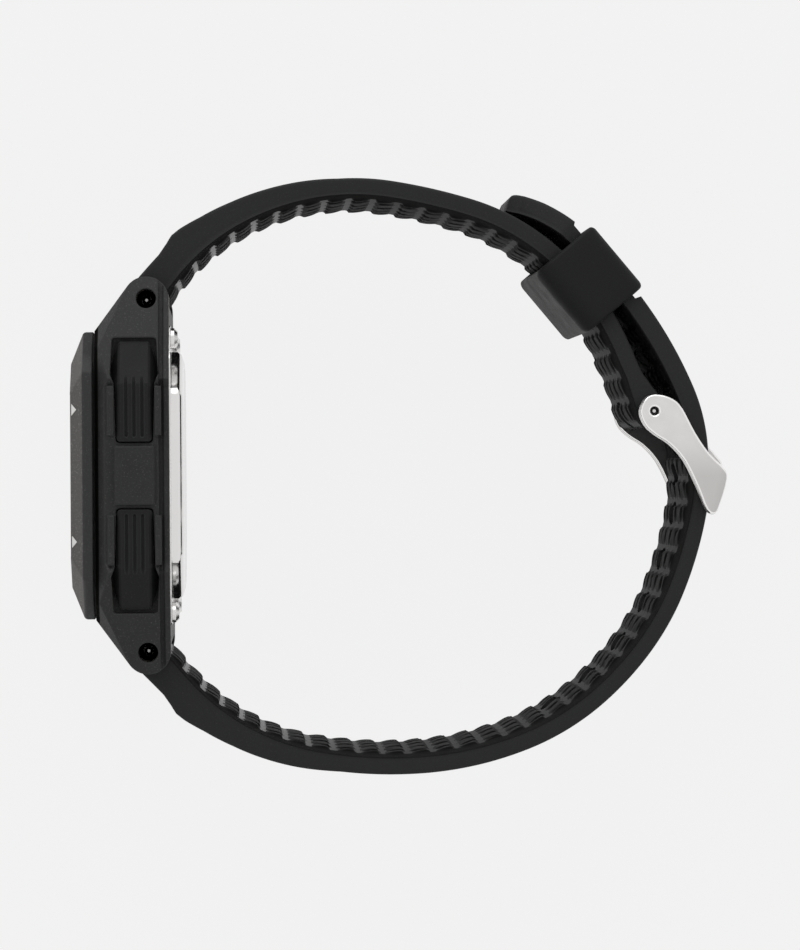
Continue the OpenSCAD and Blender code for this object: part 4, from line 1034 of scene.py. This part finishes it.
# %% Keeper
KEEPER_L, KEEPER_WRIST_T, KEEPER_HALF_Z, KEEPER_BORE_HALF_Z = 9.0, 1.3, 11.6, 10.3
KEEPER_OUT, KEEPER_LEAN = 0.42, 0.2
OUTSIDE_RADII, BORE_RADII, WALL_RADII = (1.3, 2.6), (0.45, 1.2), (0.4, 0.4)
OUTER_CORNER, WRIST_CORNER = 0.4, 0.62
LOOP_SIDES, LOOP_ARC, WALL_SIDES, WALL_ARC = 8, 25, 6, 6


def rounded_rectangle(x0, x1, y0, y1, radii, sides, count):
    """Points round a rectangle with quarter circles at its corners, of the first radius at its x1 end and the
    second at x0. Each side between two arcs gets evenly spaced points."""
    far, near = radii
    corners = [(x1 - far, y0 + far, -90, far), (x1 - far, y1 - far, 0, far),
        (x0 + near, y1 - near, 90, near), (x0 + near, y0 + near, 180, near)]
    arcs = []
    for x, y, start, radius in corners:
        turn = np.radians(start + np.linspace(0, 90, count))
        arcs.append(np.stack([x + radius * np.cos(turn), y + radius * np.sin(turn)], -1))
    share = np.linspace(0, 1, sides + 2)[1:-1, None]
    parts = []
    for arc, following in zip(arcs, arcs[1:] + arcs[:1]):
        parts += [arc, arc[-1] * (1 - share) + following[0] * share]
    return np.concatenate(parts)


def keeper_grid():
    """Each row is a section of the wall, between an outer and an inner rounded rectangle, and rows close
    round the loop. At the outer corners the wall is drawn in by a quarter circle."""
    half = KEEPER_H / 2
    outer = rounded_rectangle(KEEPER_OUT - half, KEEPER_OUT + half, -KEEPER_HALF_Z, KEEPER_HALF_Z,
        OUTSIDE_RADII, LOOP_SIDES, LOOP_ARC)
    inner = rounded_rectangle(KEEPER_WRIST_T - half, half - KEEPER_T, -KEEPER_BORE_HALF_Z, KEEPER_BORE_HALF_Z,
        BORE_RADII, LOOP_SIDES, LOOP_ARC)
    wall = rounded_rectangle(-KEEPER_L / 2, KEEPER_L / 2, 0.0, 1.0, WALL_RADII, WALL_SIDES, WALL_ARC)
    across = wall[None, :, 1:]
    ring = inner[:, None] * (1 - across) + outer[:, None] * across
    corner = np.where(ring[..., 0] > 0, OUTER_CORNER, WRIST_CORNER)
    over = np.clip(np.abs(ring[..., 0] - KEEPER_OUT) - (half - corner), 0, corner)
    drawn = corner - np.sqrt(corner ** 2 - over ** 2)
    along = wall[None, :, 0] * (1 - 2 * drawn / KEEPER_L) + KEEPER_LEAN
    c, s = math.cos(keeper_angle), math.sin(keeper_angle)
    return np.stack([keeper_x + along * c - ring[..., 0] * s, keeper_y + along * s + ring[..., 0] * c,
        ring[..., 1] + HALF_W], -1)


keeper = grid_object("moulded_keeper", keeper_grid(), closed_rows=True)
dress(keeper, keeper_rubber, "keeper", "keeper", "keeper")

# %% [markdown]
# The springs behind the buttons are wire wound in a helix: a small circle carried round a larger one while it
# climbs. Their ends are flat caps.

# %% Button springs
SPRING_R, WIRE_R, SPRING_H = 1.3, 0.14, 1.2
SPRING_TURNS, STEPS_A_TURN, WIRE_SIDES = 3, 28, 10
SPRING_Y, SPRING_FLOOR = 9.4, 16.8
SPRINGS = {"near_upper": (1, 1), "near_lower": (-1, 1), "far_upper": (1, -1), "far_lower": (-1, -1)}


def spring_grid(y, way):
    """A wire circle at each step of the turns. It climbs evenly from the pocket floor, in the direction of
    way, until the wire's top reaches the spring's height."""
    turn = np.linspace(0, SPRING_TURNS * 2 * np.pi, SPRING_TURNS * STEPS_A_TURN)[:, None]
    ring = np.linspace(0, 2 * np.pi, WIRE_SIDES, endpoint=False)[None, :]
    radius = SPRING_R + WIRE_R * np.cos(ring)
    height = WIRE_R + (SPRING_H - 2 * WIRE_R) * turn / turn[-1] + WIRE_R * np.sin(ring)
    return np.stack([radius * np.cos(turn), y + radius * np.sin(turn),
        HALF_W + way * (SPRING_FLOOR + height)], -1)


for spring_name, (up, near) in SPRINGS.items():
    spring = grid_object("spring_" + spring_name, spring_grid(up * SPRING_Y, near))
    dress(spring, small_steel, "root", "small_steel", "button_springs")

# %% [markdown]
# The hard outer pieces keep their CAD shape but get a real bevel, because a flat ring of faces along an edge
# shows its line of light even from far off. A CAD mesh is loose triangles, so a copy is welded and its flat
# faces are joined first. Only outward edges get the bevel, and none in a box where edges crowd together. On
# the buckle the bevel has its own bright finish, and the inner face of the far arm and the walls of the hole
# for its bar are dark, because hardly any light reaches them.

# %% Bevelled copies
FLAT_ANGLE = 0.5
WIDE = 99
NO_BOX = ((0, 0), (0, 0), (0, 0))
ARM_ROOTS = ((64.5, 67.2), (-5, 1), (9, 31))
BEHIND_RIM = ((-5.2, WIDE), (-WIDE, WIDE), (-WIDE, WIDE))
ARM_HOLE_R = 0.7
FACES_UP, FACES_SIDEWAYS = 0.9, 0.1
BODIES = frame["record"]["behaviour"]["bodies"]


def bevelled(name, new_name, slot, materials, width, segments, angle, skip=NO_BOX):
    """A welded copy of a node, with a bevel on those edges that turn outwards by more than the angle in
    degrees and lie outside the box skip. The last material goes on the bevel."""
    piece = new_object(new_name, nodes[name].data.copy())
    shape = bmesh.new()
    shape.from_mesh(piece.data)
    bmesh.ops.remove_doubles(shape, verts=shape.verts, dist=2 * SAME_PLACE * MM)
    bmesh.ops.dissolve_limit(shape, angle_limit=math.radians(FLAT_ANGLE), verts=shape.verts,
        edges=shape.edges, delimit={"NORMAL"})
    weight = shape.edges.layers.float.new("bevel_weight_edge")
    low, high = np.array(skip, float).T
    for edge in shape.edges:
        middle = np.array((edge.verts[0].co + edge.verts[1].co) / 2) / MM
        outside = np.any(middle < low) or np.any(middle > high)
        if len(edge.link_faces) == 2 and edge.calc_face_angle_signed(0.0) > math.radians(angle) and outside:
            edge[weight] = 1.0
    shape.to_mesh(piece.data)
    shape.free()
    piece.data.shade_smooth()
    piece.data.set_sharp_from_angle(angle=math.radians(angle))
    piece.data.materials.clear()
    for material in materials:
        piece.data.materials.append(material)
    bevel = piece.modifiers.new("bevel", "BEVEL")
    bevel.width = width * MM
    bevel.segments = segments
    bevel.limit_method = "WEIGHT"
    bevel.harden_normals = True
    bevel.use_clamp_overlap = False
    bevel.material = len(materials) - 1
    body = next(key for key, names in BODIES.items() if name in names)
    dress(piece, None, body, slot, name)
    print(new_name, "faces:", len(piece.data.polygons))
    return piece


def shade_inner_faces(piece, number):
    """Puts the numbered material on the far arm's inner face and on the walls of the hole for the bar."""
    for face in piece.data.polygons:
        far_inner = face.normal.z > FACES_UP and face.center.z < HALF_W * MM
        from_pivot = math.hypot(face.center.x / MM - buckle_x, face.center.y / MM - buckle_y)
        in_hole = from_pivot < ARM_HOLE_R and abs(face.normal.z) < FACES_SIDEWAYS
        if far_inner or in_hole:
            face.material_index = number


frame_copy = bevelled("buckle_frame", "satin_buckle_frame", "buckle_steel",
    (blasted_steel, shaded_steel, bright_bevel), width=0.22, segments=3, angle=40, skip=ARM_ROOTS)
shade_inner_faces(frame_copy, 1)
bevelled("buckle_tongue", "satin_tongue", "buckle_steel", (blasted_steel, bright_bevel), width=0.16,
    segments=2, angle=40)
bevelled("bezel", "soft_bezel", "bezel_resin", (bezel_resin,), width=0.3, segments=3, angle=25,
    skip=BEHIND_RIM)

# %% [markdown]
# The display shows plain figures and a curve of the tide, as any such watch does. Figures of seven bars are
# drawn bar by bar: each bar is a thin six-sided plate that lies just in front of the panel. The watch is read
# from the -X side, so a figure's right points to +Z and its top to +Y.

# %% Helpers: figures and plates
BARS = {"top": (0, 1, 0), "middle": (0, 0, 0), "bottom": (0, -1, 0), "upper_left": (-1, 0.5, 1),
    "upper_right": (1, 0.5, 1), "lower_left": (-1, -0.5, 1), "lower_right": (1, -0.5, 1)}
LIT = {"0": "top bottom upper_left upper_right lower_left lower_right", "1": "upper_right lower_right",
    "2": "top middle bottom upper_right lower_left", "3": "top middle bottom upper_right lower_right",
    "4": "middle upper_left upper_right lower_right",
    "6": "top middle bottom upper_left lower_left lower_right",
    "8": "top middle bottom upper_left upper_right lower_left lower_right"}
BAR_GAP = 0.06


def bar_outline(centre, length, thick, standing):
    """A long hexagon round a centre, lying down or standing up."""
    half, t = length / 2 - BAR_GAP, thick / 2
    shape = np.array([[-half, 0], [-half + t, t], [half - t, t], [half, 0], [half - t, -t], [-half + t, -t]])
    return centre + (shape[:, ::-1] if standing else shape)


def figure_outlines(text, left, base, width, height, thick, gap):
    """Outlines of all lit bars of a row of figures, whose lower left corner is at left and base."""
    outlines = []
    for number, figure in enumerate(text):
        centre = np.array([left + number * (width + gap) + width / 2, base + height / 2])
        for bar in LIT[figure].split():
            x, y, standing = BARS[bar]
            place = centre + np.array([x * (width - thick) / 2, y * (height - thick) / 2])
            length = (height - thick) / 2 if standing else width - thick
            outlines.append(bar_outline(place, length, thick, standing))
    return outlines


def rectangle(x0, x1, y0, y1):
    """Four corners."""
    return np.array([[x0, y0], [x1, y0], [x1, y1], [x0, y1]])


def tick_row(reach, step, half_width, low, top):
    """Upright ticks at even steps from minus reach to reach."""
    places = np.arange(-reach, reach + step / 2, step)
    return [rectangle(x - half_width, x + half_width, low, top) for x in places]


def ribbon(x, y, thick):
    """Short quads along a curve, each a plate of its own, so that a graph can be drawn."""
    low, high = y - thick / 2, y + thick / 2
    corners = [[x[:-1], low[:-1]], [x[1:], low[1:]], [x[1:], high[1:]], [x[:-1], high[:-1]]]
    return list(np.moveaxis(np.array(corners), -1, 0))


def plates(name, outlines, front, thick, material, slot):
    """One mesh of flat plates: each outline, drawn in Z and Y, is swept along X from front by its
    thickness."""
    points, loops, starts = [], [], []
    base = corner = 0
    for outline in outlines:
        area = np.sum(outline[:, 0] * np.roll(outline[:, 1], -1) - np.roll(outline[:, 0], -1) * outline[:, 1])
        outline = outline if area > 0 else outline[::-1]
        count = len(outline)
        for x in (front, front + thick):
            points.append(np.stack([np.full(count, x), outline[:, 1], outline[:, 0] + HALF_W], -1))
        index = np.arange(count)
        faces = [base + index, base + count + index[::-1]]
        sides = np.stack([index, index + count, (index + 1) % count + count, (index + 1) % count], -1) + base
        for face in faces + list(sides):
            loops.append(face)
            starts.append(corner)
            corner += len(face)
        base += 2 * count
    made = mesh_object(name, np.concatenate(points), np.concatenate(loops), np.array(starts))
    made.data.shade_flat()
    dress(made, material, "root", slot)
    print(name, "plates:", len(outlines))


print("figures that can be lit:", " ".join(LIT))

# %% [markdown]
# The time stands in large figures at the bottom, with a dotted colon, small seconds and a date, and the curve
# of the tide runs over them above a scale of even ticks.

# %% Figures of the display
LCD_FRONT, INK_T = -4.25, 0.02
LARGE = {"base": -6.9, "width": 3.3, "height": 5.6, "thick": 0.62, "gap": 0.75}
SECONDS = {"base": -6.9, "width": 1.15, "height": 2.1, "thick": 0.26, "gap": 0.35}
DATE = {"base": 0.6, "width": 1.4, "height": 2.3, "thick": 0.28, "gap": 0.4}
TIDE_MIDDLE, TIDE_HEIGHT, TIDE_RATE, TIDE_START, TIDE_LINE = 5.6, 1.5, 0.62, 0.8, 0.22
TIDE_REACH, TIDE_POINTS = 10.2, 60
DOT_LEFT, DOT_RIGHT, DOT_H, DOT_LOWS = -1.25, -0.65, 0.6, (-3.3, -5.5)
SCALE_REACH, SCALE_LOW, SCALE_TOP = 10.3, 3.2, 3.34

ink = figure_outlines("10", left=-9.4, **LARGE) + figure_outlines("08", left=0.4, **LARGE)
ink += figure_outlines("36", left=8.1, **SECONDS) + figure_outlines("24", left=5.6, **DATE)
ink += [rectangle(DOT_LEFT, DOT_RIGHT, low, low + DOT_H) for low in DOT_LOWS]
tide_x = np.linspace(-TIDE_REACH, TIDE_REACH, TIDE_POINTS)
ink += ribbon(tide_x, TIDE_MIDDLE + TIDE_HEIGHT * np.sin(tide_x * TIDE_RATE + TIDE_START), TIDE_LINE)
ink += tick_row(reach=9.6, step=1.6, half_width=0.06, low=3.5, top=3.8)
ink.append(rectangle(-SCALE_REACH, SCALE_REACH, SCALE_LOW, SCALE_TOP))
plates("display_figures", ink, LCD_FRONT - INK_T, INK_T, display_ink, "display")

# %% [markdown]
# The mask carries only a thin printed frame and plain ticks. The labels on the bezel's slope are replaced by
# small plain triangles that point at the buttons.

# %% Print on the mask
MASK_FRONT, PRINT_T = -4.65, 0.015
PRINT_HALF_W, PRINT_HALF_H, PRINT_LINE = 12.3, 9.4, 0.15
TICK_NEAR, TICK_FAR = 9.55, 9.95

inner_w, inner_h = PRINT_HALF_W - PRINT_LINE, PRINT_HALF_H - PRINT_LINE
frame_marks = [rectangle(-PRINT_HALF_W, PRINT_HALF_W, inner_h, PRINT_HALF_H),
    rectangle(-PRINT_HALF_W, PRINT_HALF_W, -PRINT_HALF_H, -inner_h),
    rectangle(-PRINT_HALF_W, -inner_w, -inner_h, inner_h),
    rectangle(inner_w, PRINT_HALF_W, -inner_h, inner_h)]
for low, top in ((TICK_NEAR, TICK_FAR), (-TICK_FAR, -TICK_NEAR)):
    frame_marks += tick_row(reach=10.5, step=3.5, half_width=0.08, low=low, top=top)
plates("mask_print", frame_marks, MASK_FRONT - PRINT_T, PRINT_T, mask_white, "mask")

# %% [markdown]
# The slopes of the bezel carry one mark for each button. A mark is a thin triangular plate that lies in the
# slope, sunk a little and a little proud, and the slope is a straight line between two known points.

# %% Marks on the bezel's slopes
SLOPE_FRONT, SLOPE_BACK = np.array([-7.2, 15.5]), np.array([-5.7, 18.5])
MARK_OUTLINE = np.array([[0.45, -0.65], [1.75, 0.0], [0.45, 0.65]])
MARK_Y = 7.3
SUNK, PROUD = -0.02, 0.03


def slope_marks():
    """Points of a mark: the slope's front point plus steps along the slope and out of it."""
    along = (SLOPE_BACK - SLOPE_FRONT) / np.linalg.norm(SLOPE_BACK - SLOPE_FRONT)
    out = np.array([-along[1], along[0]])
    points, faces = [], []
    corner = np.arange(3)
    following = (corner + 1) % 3
    for side in (1, -1):
        for y in (MARK_Y, -MARK_Y):
            start = 3 * len(points)
            for lift in (SUNK, PROUD):
                x, across = (SLOPE_FRONT + MARK_OUTLINE[:, :1] * along + lift * out).T
                points.append(np.stack([x, y + MARK_OUTLINE[:, 1], HALF_W + side * across], -1))
            walls = np.stack([corner, following, following + 3, corner + 3], -1)
            faces += [list(start + corner[::-1]), list(start + corner + 3)]
            faces += [list(start + wall) for wall in walls]
    return new_object("slope_marks", outward_mesh("slope_marks", np.concatenate(points), faces))


dress(slope_marks(), mask_white, "root", "mask")
print("marks on the slopes: 4")

# %% [markdown]
# The watch lies on a plain pale floor in a white room. The room's light comes from everywhere, with one large
# soft lamp on the 12 o'clock side. The floor and the room look the same pale grey to the camera and to
# anything that mirrors them, and the floor keeps the soft shadow of the watch.

# %% Floor, room and lamp
PALE, WHITE = (0.896, 0.896, 0.896, 1), (1.0, 1.0, 1.0, 1)
FLOOR_REACH = 3000.0
PAINTED_SHARE = 0.95
ROOM_LIGHT = 0.72
LAMP_AT, LAMP_LOOKS_AT = np.array([-80.0, 620.0, 330.0]), np.array([30.0, 0.0, 20.0])
LAMP_WIDTH, LAMP_WATTS = 900.0, 2.2


def pale_ray_share(tree):
    """1 for a ray from the camera, off a mirror or through glass."""
    path = add(tree, "ShaderNodeLightPath")
    glossy = math_node(tree, "MAXIMUM", path.outputs["Is Camera Ray"], path.outputs["Is Glossy Ray"])
    return math_node(tree, "MAXIMUM", glossy, path.outputs["Is Transmission Ray"])


def make_floor():
    """A wide flat plate whose shade is mostly painted and a little lit, so that its shadow stays faint."""
    reach = FLOOR_REACH * MM
    mesh = bpy.data.meshes.new("floor")
    mesh.from_pydata([(-reach, -reach, 0), (reach, -reach, 0), (reach, reach, 0), (-reach, reach, 0)], [],
        [(0, 1, 2, 3)])
    material, tree, shader = new_material("pale floor")
    fill(tree, shader, {"Base Color": PALE, "Roughness": 1.0, "Specular IOR Level": 0.0})
    paint = add(tree, "ShaderNodeEmission", {"Color": PALE, "Strength": 1.0})
    share = math_node(tree, "MULTIPLY", pale_ray_share(tree), PAINTED_SHARE)
    mixed = add(tree, "ShaderNodeMixShader", {0: share, 1: shader.outputs[0], 2: paint.outputs[0]})
    fill(tree, tree.nodes["Material Output"], {"Surface": mixed.outputs[0]})
    mesh.materials.append(material)
    new_object("floor", mesh)


def make_room():
    """White light from all round, which shows as the pale grey of the floor."""
    world = bpy.data.worlds.new("room")
    bpy.context.scene.world = world
    world.use_nodes = True
    tree = world.node_tree
    lit = tree.nodes["Background"]
    fill(tree, lit, {"Color": WHITE, "Strength": ROOM_LIGHT})
    seen = add(tree, "ShaderNodeBackground", {"Color": PALE, "Strength": 1.0})
    blend = add(tree, "ShaderNodeMixShader", {0: pale_ray_share(tree), 1: lit.outputs[0], 2: seen.outputs[0]})
    fill(tree, tree.nodes["World Output"], {"Surface": blend.outputs[0]})


def make_lamp():
    """One large soft disk of light."""
    lamp = new_object("lamp", bpy.data.lights.new("lamp", "AREA"))
    lamp.data.shape = "DISK"
    lamp.data.size = LAMP_WIDTH * MM
    lamp.data.energy = LAMP_WATTS
    aim(lamp, LAMP_AT, LAMP_LOOKS_AT, 0.0)


make_floor()
make_room()
make_lamp()
print("lamp at", LAMP_AT)
